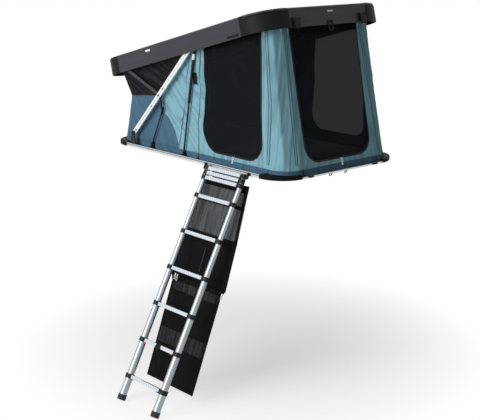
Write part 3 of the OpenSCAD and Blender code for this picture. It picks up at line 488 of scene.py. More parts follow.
def build_materials():
    """All finishes of the tent by name."""
    fabric = settings().fabric
    hard = settings().hard
    teal, slate = fabric.side_canvas, fabric.front_canvas
    webbing = fabric.webbing
    upright = (0.0, 0.0, 0.0)
    lengthwise = (0.0, math.pi / 2, 0.0)
    # Threads are about 0.7 mm apart, and are drawn at 3 mm so that the weave shows
    return {
        # The last value of creased is the crease colour: darker than the canvas, so painted shade along the
        # creases.
        "side_canvas": woven("polycotton_side_canvas", teal, 3.0, 0.78,
                             creased=(20.0, -45.0, 4.0, shade(teal, 0.62))),
        "front_canvas": woven("polycotton_front_canvas", slate, 3.0, 0.78,
                              creased=(10.0, -30.0, 4.0, shade(slate, 0.75))),
        # Lighter crease colour on the black gusset: painted highlights along its creases, where satin
        # catches the light.
        "gusset": woven("coated_polyester_gusset", fabric.gusset, 2.6, 0.6, 0.12, 0.0, shine=0.08,
                        creased=(25.0, -68.0, -68.0, shade(fabric.gusset, 4.0))),
        "lining": woven("dark_coated_lining", fabric.lining, 3.0, 0.8, 0.08, 0.0),
        "mesh": woven("insect_mesh", fabric.mesh, 2.4, 0.85, 0.05, 0.0, fabric.mesh_cover),
        "net": netting("organiser_netting", fabric.organiser_mesh, 0.8, 30.0),
        "low_net": netting("organiser_low_netting", shade(fabric.organiser_mesh, 0.4), 0.9, 24.0),
        "oxford": woven("coated_oxford_cloth", fabric.organiser, 2.6, 0.55, 0.15, 0.0, shine=0.04),
        "webbing": woven("polyester_webbing", webbing, 2.0, 0.7, 0.1),
        "side_seam": stitched("felled_side_seam", shade(teal, 0.42), shade(teal, 0.2), 5.0),
        "strap": woven("teal_webbing", shade(teal, 0.7), 2.0, 0.7, 0.1),
        "front_seam": stitched("felled_front_seam", shade(slate, 0.9), shade(slate, 0.45), 5.0),
        "black_seam": stitched("sewn_black_binding", webbing, linear("#3A3C40"), 5.0),
        "zip": zip_tape("coil_zip", shade(teal, 0.3)),
        "profile": powder_coat("powder_coated_profile", hard.profile_coat),
        "moulding": grained("grained_abs", hard.moulding, 2.4, 0.5, 0.1),
        "nylon": grained("glass_filled_nylon", hard.nylon, 1.6, 0.42),
        "base_moulding": grained("grained_base_moulding", shade(hard.moulding, 0.5), 2.4, 0.5, 0.06),
        "rail": anodised("anodised_rail", shade(hard.aluminium, 0.78), 0.3, lengthwise, 2.0),
        "cross_rail": anodised("anodised_cross_rail", shade(hard.aluminium, 0.78), 0.3,
                               (math.pi / 2, 0.0, 0.0), 2.0),
        "arm": anodised("anodised_arm", hard.aluminium, 0.34, (0.0, math.radians(44.72), 0.0), 2.0),
        "groove": anodised("shaded_arm_groove", shade(hard.aluminium, 0.72), 0.4, lengthwise, 2.0),
        "tube": anodised("drawn_ladder_tube", shade(hard.ladder, 0.56), 0.36,
                         (LADDER_LEAN, 0.0, 0.0), 1.5),
        "tread": tread_aluminium("ridged_ladder_tread", hard.ladder),
        # Dark grey of the strips in the rails' grooves: painted shade of the grooves.
        "groove_shade": smooth_plastic("painted_rail_groove_shade", linear("#4A5254"), 0.6),
        "strip": anodised("bright_edge_strip", hard.aluminium, 0.22, upright, 2.0),
        "black_steel": coated_steel("coated_black_steel", hard.black_steel),
        "bright_steel": bright_steel("chromed_steel"),
        "brace": coated_steel("grey_coated_brace", linear("#35373A")),
        "nitrided": coated_steel("black_nitrided_rod", linear("#101113")),
        "red": smooth_plastic("red_acetal", linear("#B3262E")),
        "panel": embossed_panel("stucco_sandwich_panel", hard.panel),
        "cover": quilted_cloth("knitted_mattress_cover", fabric.mattress, 4.0),
        "liner": quilted_cloth("felt_roof_liner", fabric.liner, 5.0),
        "rubber": ribbed_rubber("moulded_rubber"),
        "pale": smooth_plastic("pale_acetal", hard.pale_plastic),
        "dark": smooth_plastic("black_acetal", linear("#060708"), 0.45),
    }


FINISH = {}


def finish(name):
    """One finish by its short name."""
    if not FINISH:
        FINISH.update(build_materials())
    return FINISH[name]


def make_piece(name, bm, body, finishes, replaces=(), sharp=38.0):
    """Turn a bmesh in millimetres into a piece in metres that rides on a body."""
    bmesh.ops.scale(bm, vec=(0.001, 0.001, 0.001), verts=bm.verts)
    mesh = bpy.data.meshes.new(name)
    bm.to_mesh(mesh)
    bm.free()
    for short in finishes:
        mesh.materials.append(finish(short))
    mesh.polygons.foreach_set("use_smooth", [True] * len(mesh.polygons))
    mesh.set_sharp_from_angle(angle=math.radians(sharp))
    piece = bpy.data.objects.new(name, mesh)
    bpy.context.scene.collection.objects.link(piece)
    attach(piece, body)
    if replaces:
        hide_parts(*replaces)
    return piece


def dress(node, short):
    """Give a solid that is shown as it is a finish."""
    piece = SOLIDS[node]
    piece.data.materials.clear()
    piece.data.materials.append(finish(short))
    return piece


def fold_with_lid(piece):
    """Give a fabric piece above the foot band its own copy of its mesh."""
    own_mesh(piece)


def fold_under_lid(piece):
    """Give the gusset, which hangs from the lid, its own copy of its mesh."""
    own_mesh(piece)


def add_block(bm, low, high, bevel=0.0, segments=2):
    """Box between two corners, with rounded edges where a bevel is given."""
    verts = bmesh.ops.create_cube(bm, size=1.0)["verts"]
    size = [h - l for l, h in zip(low, high)]
    bmesh.ops.scale(bm, vec=size, verts=verts)
    bmesh.ops.translate(bm, vec=[(l + h) / 2 for l, h in zip(low, high)], verts=verts)
    if bevel:
        edges = {e for v in verts for e in v.link_edges}
        made = bmesh.ops.bevel(bm, geom=list(edges), offset=bevel, offset_type="OFFSET", affect="EDGES",
                               segments=segments, profile=0.5, material=-1)
        verts = list({v for f in made["faces"] for v in f.verts} | {v for v in verts if v.is_valid})
    return verts


def add_drum(bm, start, end, radius, sides=24, bevel=0.0):
    """Round bar between two points, with rounded rims where a bevel is given."""
    start, end = Vector(start), Vector(end)
    run = end - start
    made = bmesh.ops.create_cone(bm, cap_ends=True, segments=sides, radius1=radius, radius2=radius,
                                 depth=run.length)["verts"]
    turn = Vector((0, 0, 1)).rotation_difference(run).to_matrix().to_4x4()
    bmesh.ops.transform(bm, matrix=Matrix.Translation((start + end) / 2) @ turn, verts=made)
    if bevel:
        rims = [e for e in {e for v in made for e in v.link_edges}
                if any(len(f.verts) > 4 for f in e.link_faces)]
        bmesh.ops.bevel(bm, geom=rims, offset=bevel, offset_type="OFFSET", affect="EDGES", segments=3,
                        profile=0.5, material=-1)
    return made


def of_kind(made, kind):
    """Points, edges or faces among what a mesh step made."""
    return [g for g in made if isinstance(g, kind)]


def push(bm, face, offset):
    """Extrude one face by an offset and return its new end."""
    made = bmesh.ops.extrude_face_region(bm, geom=[face])["geom"]
    bmesh.ops.translate(bm, vec=offset, verts=of_kind(made, bmesh.types.BMVert))
    return of_kind(made, bmesh.types.BMFace)[0]


def sweep_corner(profile, lead, tail, steps):
    """Sweep a profile of (radius, height) points along a lead, round a quarter turn and along a tail."""
    bm = bmesh.new()
    face = bm.faces.new([bm.verts.new((-lead, -r, z)) for r, z in profile])
    face = push(bm, face, (lead, 0, 0))
    made = bmesh.ops.spin(bm, geom=[face], cent=(0, 0, 0), axis=(0, 0, 1), angle=math.pi / 2, steps=steps,
                          use_merge=False)
    push(bm, of_kind(made["geom_last"], bmesh.types.BMFace)[0], (0, tail, 0))
    bmesh.ops.remove_doubles(bm, verts=bm.verts, dist=0.001)
    bmesh.ops.recalc_face_normals(bm, faces=bm.faces)
    return bm


def extrude_profile(points, start, run):
    """Straight bar with a drawn section, from a start point along an offset."""
    bm = bmesh.new()
    face = bm.faces.new([bm.verts.new(Vector(start) + Vector(p)) for p in points])
    push(bm, face, run)
    bmesh.ops.recalc_face_normals(bm, faces=bm.faces)
    return bm


def move(bm, matrix):
    """Move a bmesh by a matrix."""
    bmesh.ops.transform(bm, matrix=matrix, verts=bm.verts)


def join(bm, other, matrix):
    """Add another bmesh to one, moved by a matrix, and free it."""
    move(other, matrix)
    if matrix.determinant() < 0:
        bmesh.ops.reverse_faces(other, faces=other.faces)
    carry = bpy.data.meshes.new("carry")
    other.to_mesh(carry)
    other.free()
    bm.from_mesh(carry)
    bpy.data.meshes.remove(carry)


def on_lid():
    """Matrix from the lid's own frame, in millimetres."""
    return Matrix.Translation((LID_REAR[0], 0, LID_REAR[1])) @ Matrix.Rotation(-LID_TILT, 4, "Y")


def on_ladder(along=0.0):
    """Matrix from the ladder's own frame at a distance down its stiles."""
    lean = Matrix.Rotation(-LADDER_LEAN, 4, "X")
    return Matrix.Translation(LADDER_TOP) @ lean @ Matrix.Translation((0, 0, -along))


def on_organiser():
    """Matrix from the organiser's own frame, which hangs along -Z with its face towards -Y."""
    return (on_ladder() @ Matrix.Translation((-18.5, 53.5, -53.0))
            @ Matrix.Rotation(LADDER_LEAN - ORGANISER_LEAN, 4, "X"))


def organiser_half(s):
    """Half width of the organiser at a distance down it: its upper part flares out to the clips."""
    for (s0, w0), (s1, w1) in zip(ORGANISER_EDGE, ORGANISER_EDGE[1:]):
        if s <= s1:
            return w0 + (w1 - w0) * max(0.0, s - s0) / (s1 - s0)
    return ORGANISER_EDGE[-1][1]


MIRROR_Y = Matrix.Scale(-1, 4, (0, 1, 0))
MIRROR_X = Matrix.Scale(-1, 4, (1, 0, 0))
SIDES = (Matrix.Identity(4), MIRROR_Y)


def lid_point(x, v):
    """X and Z of a point of the lid's own frame."""
    return (LID_REAR[0] + x * math.cos(LID_TILT) - v * math.sin(LID_TILT),
            LID_REAR[1] + x * math.sin(LID_TILT) + v * math.cos(LID_TILT))


def lid_edge_z(x):
    """Height of the lid's lower edge above a place along the tent."""
    return LID_REAR[1] + (x - LID_REAR[0]) * math.tan(LID_TILT)


def wall_section(z):
    """Front and rear of the walls at a height, and their corner radii there."""
    top_x, top_z = lid_point(-WALL_TOP_REAR, WALL_TOP_V)
    rear = WALL_REAR + (top_x - WALL_REAR) * (z - FLOOR_Z) / (top_z - FLOOR_Z)
    if z < FOLD_Z:
        share = (z - FLOOR_Z) / (FOLD_Z - FLOOR_Z)
        corner = FRONT_CORNER + (FOLD_CORNER - FRONT_CORNER) * share
        return WALL_FRONT + (FOLD_FRONT - WALL_FRONT) * share, rear, corner, REAR_CORNER
    brow_x, brow_z = lid_point(WALL_TOP_FRONT - LID_LENGTH, WALL_TOP_V)
    share = (z - FOLD_Z) / (brow_z - FOLD_Z)
    corner = FOLD_CORNER + (BROW_CORNER - FOLD_CORNER) * min(share, 1.0)
    return FOLD_FRONT + (brow_x - FOLD_FRONT) * share, rear, corner, REAR_CORNER


def wall_limits(z):
    """Distance along the wall from the side's zero to the front middle and to the rear middle."""
    front, rear, front_r, rear_r = wall_section(z)
    quarter = math.pi / 2 - 2.0
    return front - quarter * front_r - WALL_Y, rear + quarter * rear_r + WALL_Y


def wall_line(s, z):
    """Place and outward direction of the -Y half of the walls at a distance along and a height."""
    front, rear, front_r, rear_r = wall_section(z)
    ahead, behind = front + front_r - s, s - rear + rear_r
    if ahead > 0:
        turn = min(ahead / front_r, math.pi / 2)
        out = Vector((-math.sin(turn), -math.cos(turn), 0))
        spare = ahead - front_r * turn
        centre = Vector((front + front_r, front_r - WALL_Y + spare, z))
        return centre + out * front_r, out
    if behind > 0:
        turn = min(behind / rear_r, math.pi / 2)
        out = Vector((math.sin(turn), -math.cos(turn), 0))
        spare = behind - rear_r * turn
        centre = Vector((rear - rear_r, rear_r - WALL_Y + spare, z))
        return centre + out * rear_r, out
    return Vector((s, -WALL_Y, z)), Vector((0, -1, 0))


# Creases of the walls: start and end as distance along and height, depth outwards and width
CREASES = (
    (798, 900, 866, 650, -5, 9), (814, 920, 872, 660, 4, 8), (806, 570, 872, 500, -4, 8),
    (816, 600, 876, 520, 3, 7), (884, 640, 930, 560, -3, 8), (884, 650, 870, 720, 3, 8),
    (930, 1080, 980, 560, 2, 10), (946, 1080, 1000, 360, -2, 10),
    (770, 1040, 782, 140, -4, 10), (786, 1040, 800, 300, 4, 9), (838, 980, 852, 160, -5, 10),
    (-330, 540, -150, 350, -6, 10), (-310, 490, -130, 300, 6, 10), (-285, 440, -120, 250, -6, 10),
    (-265, 390, -125, 210, 6, 9), (-250, 340, -150, 170, -5, 9), (-255, 660, -80, 560, -6, 12),
    (-210, 740, -70, 640, 6, 12), (-130, 780, -50, 700, -5, 10), (-60, 450, 60, 360, -5, 9),
    (-60, 390, 62, 290, 5, 9), (-62, 330, 60, 230, -5, 9), (-60, 270, 58, 170, 5, 8),
    (-2, 870, 12, 480, 9, 10), (36, 890, 46, 440, -9, 11), (66, 880, 72, 540, 8, 9),
    (100, 880, 104, 300, -6, 12),
    (-72, 800, -112, 400, 7, 10), (-95, 800, -140, 380, -6, 9), (-130, 420, -180, 130, 7, 9),
    (-150, 400, -206, 120, -6, 9), (-24, 640, -30, 120, 6, 10),
    (-700, 425, -640, 250, 5, 16), (-600, 425, -540, 200, -5, 16), (-520, 425, -420, 250, 5, 14),
    (-430, 330, -300, 130, 5, 14), (-360, 320, -260, 130, -5, 12), (-780, 420, -740, 130, -5, 18),
    (-800, 640, -470, 470, 12, 13), (-740, 660, -440, 480, -12, 13), (-660, 680, -400, 500, 12, 12),
    (-580, 700, -350, 540, -11, 12), (-500, 720, -300, 580, 10, 11), (-420, 750, -240, 620, -10, 11),
    (-330, 770, -160, 690, 9, 10), (-860, 600, -600, 445, -9, 14), (-880, 560, -700, 440, 8, 14),
)


def crease_depth(s, z):
    """Depth of the creases at a distance along and a height."""
    depth = 0.0
    for s0, z0, s1, z1, high, wide in CREASES:
        ds, dz = s1 - s0, z1 - z0
        share = ((s - s0) * ds + (z - z0) * dz) / (ds * ds + dz * dz)
        if -0.15 < share < 1.15:
            near = min(max(share, 0.0), 1.0)
            gap = math.hypot(s - s0 - ds * near, z - z0 - dz * near)
            if gap < 3 * wide:
                depth += high * math.exp(-(gap / wide) ** 2) * (0.35 + 0.65 * math.sin(math.pi * near))
    return depth


def window_sway(s, z):
    """Sideways wave of the side windows' loose front edge."""
    wave = sum(deep * math.exp(-((z - level) / wide) ** 2) for deep, level, wide in WINDOW_WAVES)
    return wave * math.exp(-((s - SIDE_WINDOW[0]) / 90) ** 2)


def corner_facet(s, z):
    """How far the rear corner lies in from its arc, as the cloth is flat on both sides of one ridge."""
    turn = (s - wall_section(z)[1] + REAR_CORNER) / REAR_CORNER
    if not 0 < turn < math.pi / 2:
        return 0.0
    ridge = math.radians(45.0 + 15.0 * (z - BAND_Z) / 980.0)
    low, high = (0.0, ridge) if turn < ridge else (ridge, math.pi / 2)
    half = (high - low) / 2
    flat = REAR_CORNER * (1 - math.cos(half) / math.cos(turn - low - half))
    return flat * min(1.0, max(0.0, (z - BAND_Z) / 60.0))


def fold_seam(x):
    """Height of the seam between front panels and gusset, which rises towards the rear."""
    return FOLD_Z + FOLD_RISE * max(0.0, x - FOLD_FRONT)


def wall_at(s, z, side, lift=0.0):
    """Point of the finished wall, with its sag and folds, on the -Y side (-1) or the +Y side (1)."""
    look = settings().fabric
    place, out = wall_line(s, z)
    top = lid_edge_z(place.x) + 30.0
    rise = min(max((z - BAND_Z) / (top - BAND_Z), 0.0), 1.0)
    slack = math.sin(math.pi * rise)
    sag = -look.wall_sag * 1000 * slack ** 0.9 - corner_facet(s, z)
    where = Vector((s / 48.0, z / 400.0, side * 3.7))
    ripple = noise.fractal(where, 1.0, 2.0, 3, noise_basis="PERLIN_ORIGINAL")
    fold = crease_depth(s, z) / 5.0 + ripple * (0.7 if s < 760 else 0.2)
    shift = sag + look.fold_depth * 1000 * fold * slack ** 0.5
    place += out * (shift + lift)
    place.x += window_sway(s, z) * slack
    if side > 0:
        place.y = -place.y
    return place


def rear_along(y, z):
    """Distance along the wall of a place on the rear face."""
    return wall_limits(z)[1] - abs(y)


def angles(span, count):
    """Angles that share out a span, from zero up to its end but without it."""
    return [span * i / count for i in range(count)]


def arc_points(centre, radius, start, end, step=6.0):
    """Points on an arc, in degrees."""
    count = max(2, round(abs(end - start) / step))
    angles = [math.radians(start + (end - start) * i / count) for i in range(count + 1)]
    return [(centre[0] + radius * math.cos(a), centre[1] + radius * math.sin(a)) for a in angles]


def side_window(inset=0.0):
    """Outline of a side window in X and Z, counter-clockwise from its front."""
    (front, rear), (front_r, rear_r) = SIDE_WINDOW, SIDE_WINDOW_RADII
    low = arc_points((front + front_r, SILL_Z + front_r), front_r - inset, 180, 270)
    low += arc_points((rear - rear_r, SILL_Z + rear_r), rear_r - inset, 270, 360)
    top = (rear - inset - SIDE_WINDOW_LEAN, front + inset)
    return low + [(x, lid_edge_z(x) + SIDE_WINDOW_RISE) for x in top]


def rear_window():
    """Outline of the rear window in Y and Z, counter-clockwise seen from behind."""
    half, radius = REAR_WINDOW_HALF, REAR_WINDOW_RADIUS
    low = arc_points((-half + radius, SILL_Z + radius), radius, 180, 270)
    low += arc_points((half - radius, SILL_Z + radius), radius, 270, 360)
    return low + [(side * (half + REAR_WINDOW_FLARE), REAR_WINDOW_TOP) for side in (1, -1)]


def front_panel():
    """Outline of a front panel's lower part in X and Z."""
    bow = []
    ahead = -2000.0
    start, reach = PANEL_BOW
    for i in range(16):
        turn = math.pi / 2 * i / 15
        across, up = math.cos(turn) ** 1.21, math.sin(turn) ** 1.21
        bow.append((start + reach * across, BAND_Z + (PANEL_TOP - BAND_Z) * up))
    return [(ahead, BAND_Z)] + bow + [(ahead, PANEL_TOP)]


def faces_where(bm, test):
    """Faces whose centre passes a test."""
    return [f for f in bm.faces if test(f.calc_center_median())]


def with_parts(faces):
    """Faces together with their edges and corners."""
    parts = set(faces)
    for face in faces:
        parts.update(face.edges, face.verts)
    return list(parts)


def cut_outline(bm, faces, outline, flat):
    """Split faces along a convex outline, drawn across the flat axis, and return those inside it."""
    inside = list(faces)
    for (a0, b0), (a1, b1) in zip(outline, outline[1:] + outline[:1]):
        out = Vector((b1 - b0, 0, a0 - a1))
        point = Vector((a0, 0, b0))
        if flat == "X":
            out = Vector((0, out.x, out.z))
            point = Vector((0, a0, b0))
        made = bmesh.ops.bisect_plane(bm, geom=with_parts(inside), dist=0.0005, plane_co=point,
                                      plane_no=out)["geom"]
        inside = [f for f in of_kind(made, bmesh.types.BMFace)
                  if (f.calc_center_median() - point).dot(out) < 0]
    return inside


def slice_flat(bm, point, normal, keep=None):
    """Cut the whole mesh, or the faces that a test picks, along a plane."""
    faces = faces_where(bm, keep) if keep else list(bm.faces)
    bmesh.ops.bisect_plane(bm, geom=with_parts(faces), dist=0.0005, plane_co=point, plane_no=normal)


BAND, FRONT, GUSSET, SIDE, SIDE_MESH, REAR_MESH = range(6)


def wall_skin():
    """The walls as one skin, cut along panels and windows, with each face's panel as its material index."""
    bm = bmesh.new()
    columns, rows = 300, 92
    top_z = 1170.0
    along = bm.verts.layers.float.new("along")
    side_of = bm.verts.layers.float.new("side")
    bmesh.ops.create_grid(bm, x_segments=2 * columns, y_segments=rows, size=1.0)
    for vert in bm.verts:
        column = round((vert.co.x + 1) * columns)
        z = FLOOR_Z + (top_z - FLOOR_Z) * (vert.co.y + 1) / 2
        front, rear = wall_limits(z)
        side = -1.0 if column <= columns else 1.0
        share = column / columns if side < 0 else 2 - column / columns
        vert[along] = front + (rear - front) * share
        vert[side_of] = side
        place = wall_line(vert[along], z)[0]
        vert.co = (place.x, place.y * -side, z)
    bmesh.ops.remove_doubles(bm, verts=bm.verts, dist=0.01)
    bmesh.ops.recalc_face_normals(bm, faces=bm.faces)
    probe = max(bm.faces, key=lambda f: f.calc_center_median().x)
    if probe.normal.x < 0:
        bmesh.ops.reverse_faces(bm, faces=bm.faces)
    top = lid_point(0, WALL_TOP_V)
    bmesh.ops.bisect_plane(bm, geom=bm.verts[:] + bm.edges[:] + bm.faces[:], dist=0.0005, clear_outer=True,
                           plane_co=(top[0], 0, top[1]),
                           plane_no=(-math.sin(LID_TILT), 0, math.cos(LID_TILT)))
    slice_flat(bm, (0, 0, BAND_Z), (0, 0, 1))
    slice_flat(bm, (FOLD_FRONT, 0, FOLD_Z), (-FOLD_RISE, 0, 1), lambda c: c.x < -380)
    slice_flat(bm, (PANEL_REAR, 0, 0), (1, 0, 0), lambda c: 330 < c.z < 500)
    slant = Vector((GUSSET_TOP - GUSSET_FOOT, 0, ROLLER[1] - FOLD_Z))
    slice_flat(bm, (GUSSET_FOOT, 0, FOLD_Z), (slant.z, 0, -slant.x), lambda c: c.z > FOLD_Z and c.x < 20)
    slice_flat(bm, (GUSSET_TOP, 0, 0), (1, 0, 0), lambda c: c.z > 850 and c.x < 60)
    for face in bm.faces:
        centre = face.calc_center_median()
        seam = fold_seam(centre.x)
        lead = (centre.x - GUSSET_FOOT) * slant.z - (centre.z - FOLD_Z) * slant.x
        face.material_index = SIDE
        if centre.z < BAND_Z:
            face.material_index = BAND
        elif centre.z > seam and lead < 0 and centre.x < GUSSET_TOP:
            face.material_index = GUSSET
        elif PANEL_TOP < centre.z < seam and centre.x < PANEL_REAR and (lead < 0 or centre.z < FOLD_Z):
            face.material_index = FRONT
    low = faces_where(bm, lambda c: BAND_Z < c.z < 360 and c.x < 0)
    for face in cut_outline(bm, low, front_panel(), "Y"):
        face.material_index = FRONT
    for side in (-1, 1):
        near = faces_where(bm, lambda c: c.y * side > 300 and c.x > 60 and c.z > BAND_Z)
        for face in cut_outline(bm, near, side_window(), "Y"):
            face.material_index = SIDE_MESH
    back = faces_where(bm, lambda c: c.x > 700 and abs(c.y) < 420 and c.z > BAND_Z)
    for face in cut_outline(bm, back, rear_window(), "X"):
        face.material_index = REAR_MESH
    return bm


def panel_of(skin, panel, lift):
    """One panel of the walls' skin in its finished place, with a UV map in metres."""
    bm = skin.copy()
    others = [f for f in bm.faces if f.material_index != panel]
    bmesh.ops.delete(bm, geom=others, context="FACES")
    along = bm.verts.layers.float["along"]
    side_of = bm.verts.layers.float["side"]
    uv = bm.loops.layers.uv.new("weave")
    for face in bm.faces:
        face.material_index = 0
        for loop in face.loops:
            loop[uv].uv = (loop.vert[along] / 1000, loop.vert.co.z / 1000)
    for vert in bm.verts:
        vert.co = wall_at(vert[along], vert.co.z, -1 if vert[side_of] < 0 else 1, lift)
    return bm


def lay_flat(bm, faces, flat):
    """Give faces a UV map from the flat place of each of their corners."""
    uv = bm.loops.layers.uv.verify()
    for face in faces:
        for loop in face.loops:
            loop[uv].uv = flat[loop.vert]


def area_of(bm):
    """Area of a bmesh in millimetres, in square metres."""
    return sum(f.calc_area() for f in bm.faces) / 1e6


def thicken(piece, millimetres):
    """Give a cloth piece its thickness inwards, with the second finish on its inside."""
    solid = piece.modifiers.new("thickness", "SOLIDIFY")
    solid.thickness = millimetres / 1000
    solid.offset = -1.0
    solid.material_offset = 1
    solid.material_offset_rim = 0


def wall_strip(bm, path, width, side, lift=1.2, edge=0.2):
    """Tape on the wall along points of distance and height, with a UV map in metres along it."""
    lengths = [0.0]
    for (s0, z0), (s1, z1) in zip(path, path[1:]):
        lengths.append(lengths[-1] + math.hypot(s1 - s0, z1 - z0))
    steps = max(4, round(lengths[-1] / 14))
    verts = bmesh.ops.create_grid(bm, x_segments=steps, y_segments=4, size=1.0)["verts"]
    flat = {}
    for vert in verts:
        run = lengths[-1] * (vert.co.x + 1) / 2
        across = vert.co.y
        i = max(i for i in range(len(path) - 1) if lengths[i] <= run + 1e-6)
        share = (run - lengths[i]) / max(lengths[i + 1] - lengths[i], 1e-6)
        (s0, z0), (s1, z1) = path[i], path[i + 1]
        step = lengths[i + 1] - lengths[i]
        s = s0 + (s1 - s0) * share - (z1 - z0) / step * across * width / 2
        z = z0 + (z1 - z0) * share + (s1 - s0) / step * across * width / 2
        flat[vert] = (run / 1000, (across + 1) / 2)
        vert.co = wall_at(s, z, side, edge + (lift - edge) * (1 - abs(across) ** 4))
    lay_flat(bm, {f for v in verts for f in v.link_faces}, flat)


def face_outwards(bm):
    """Turn tapes on the walls so that they face away from the tent's middle."""
    bm.normal_update()
    wrong = []
    for face in bm.faces:
        centre = face.calc_center_median()
        if face.normal.dot(Vector((centre.x * 0.3, centre.y, 0))) < 0:
            wrong.append(face)
    bmesh.ops.reverse_faces(bm, faces=wrong)


def smooth_path(points, count):
    """Points of a Catmull-Rom curve through a few points."""
    pts = [Vector(points[0])] + [Vector(p) for p in points] + [Vector(points[-1])]
    path = []
    for i in range(count + 1):
        t = i / count * (len(points) - 1)
        k = min(int(t), len(points) - 2)
        f = t - k
        a, b, c, d = pts[k:k + 4]
        path.append(0.5 * ((2 * b) + (c - a) * f + (2 * a - 5 * b + 4 * c - d) * f * f
                           + (3 * b - a - 3 * c + d) * f ** 3))
    return path


def bridge(bm, rings):
    """Join each ring of points to the next one with faces."""
    for low, high in zip(rings, rings[1:]):
        edges = [e for v in low for e in v.link_edges if e.other_vert(v) in low]
        edges += [e for v in high for e in v.link_edges if e.other_vert(v) in high]
        bmesh.ops.bridge_loops(bm, edges=list(set(edges)))


def add_tube(bm, points, radius, sides=10, closed=False):
    """Round tube through points, either with capped ends or closed to a ring."""
    rings = []
    count = len(points)
    ahead = None
    for i, point in enumerate(points):
        before = points[i - 1] if i or closed else point
        after = points[(i + 1) % count] if i < count - 1 or closed else point
        run = (Vector(after) - Vector(before)).normalized()
        if ahead is None:
            ahead = run.orthogonal().normalized()
        ahead = (ahead - run * ahead.dot(run)).normalized()
        ring = bmesh.ops.create_circle(bm, segments=sides, radius=radius, cap_ends=False)["verts"]
        basis = Matrix((ahead, run.cross(ahead), run)).transposed().to_4x4()
        bmesh.ops.transform(bm, matrix=Matrix.Translation(point) @ basis, verts=ring)
        rings.append(ring)
    bridge(bm, rings + rings[:1] if closed else rings)
    if not closed:
        for ring in (rings[0], rings[-1]):
            bm.faces.new(ring)
    faces = list({f for ring in rings for v in ring for f in v.link_faces})
    bmesh.ops.recalc_face_normals(bm, faces=faces)
    return [v for ring in rings for v in ring]


def add_ribbon(bm, points, normals, width, thick):
    """Flat strap through points, its broad face along the given normals."""
    rings = []
    for i, point in enumerate(points):
        before = Vector(points[max(i - 1, 0)])
        after = Vector(points[min(i + 1, len(points) - 1)])
        run = (after - before).normalized()
        out = Vector(normals[i])
        out = (out - run * out.dot(run)).normalized()
        cross = run.cross(out)
        corners = [(-1, -1), (1, -1), (1, 1), (-1, 1)]
        ring = [bm.verts.new(Vector(point) + cross * (a * width / 2) + out * (b * thick / 2))
                for a, b in corners]
        for k in range(4):
            bm.edges.new((ring[k], ring[(k + 1) % 4]))
        rings.append(ring)
    bridge(bm, rings)
    bm.faces.new(rings[0])
    bm.faces.new(rings[-1])
    faces = list({f for ring in rings for v in ring for f in v.link_faces})
    bmesh.ops.recalc_face_normals(bm, faces=faces)
    return [v for ring in rings for v in ring]


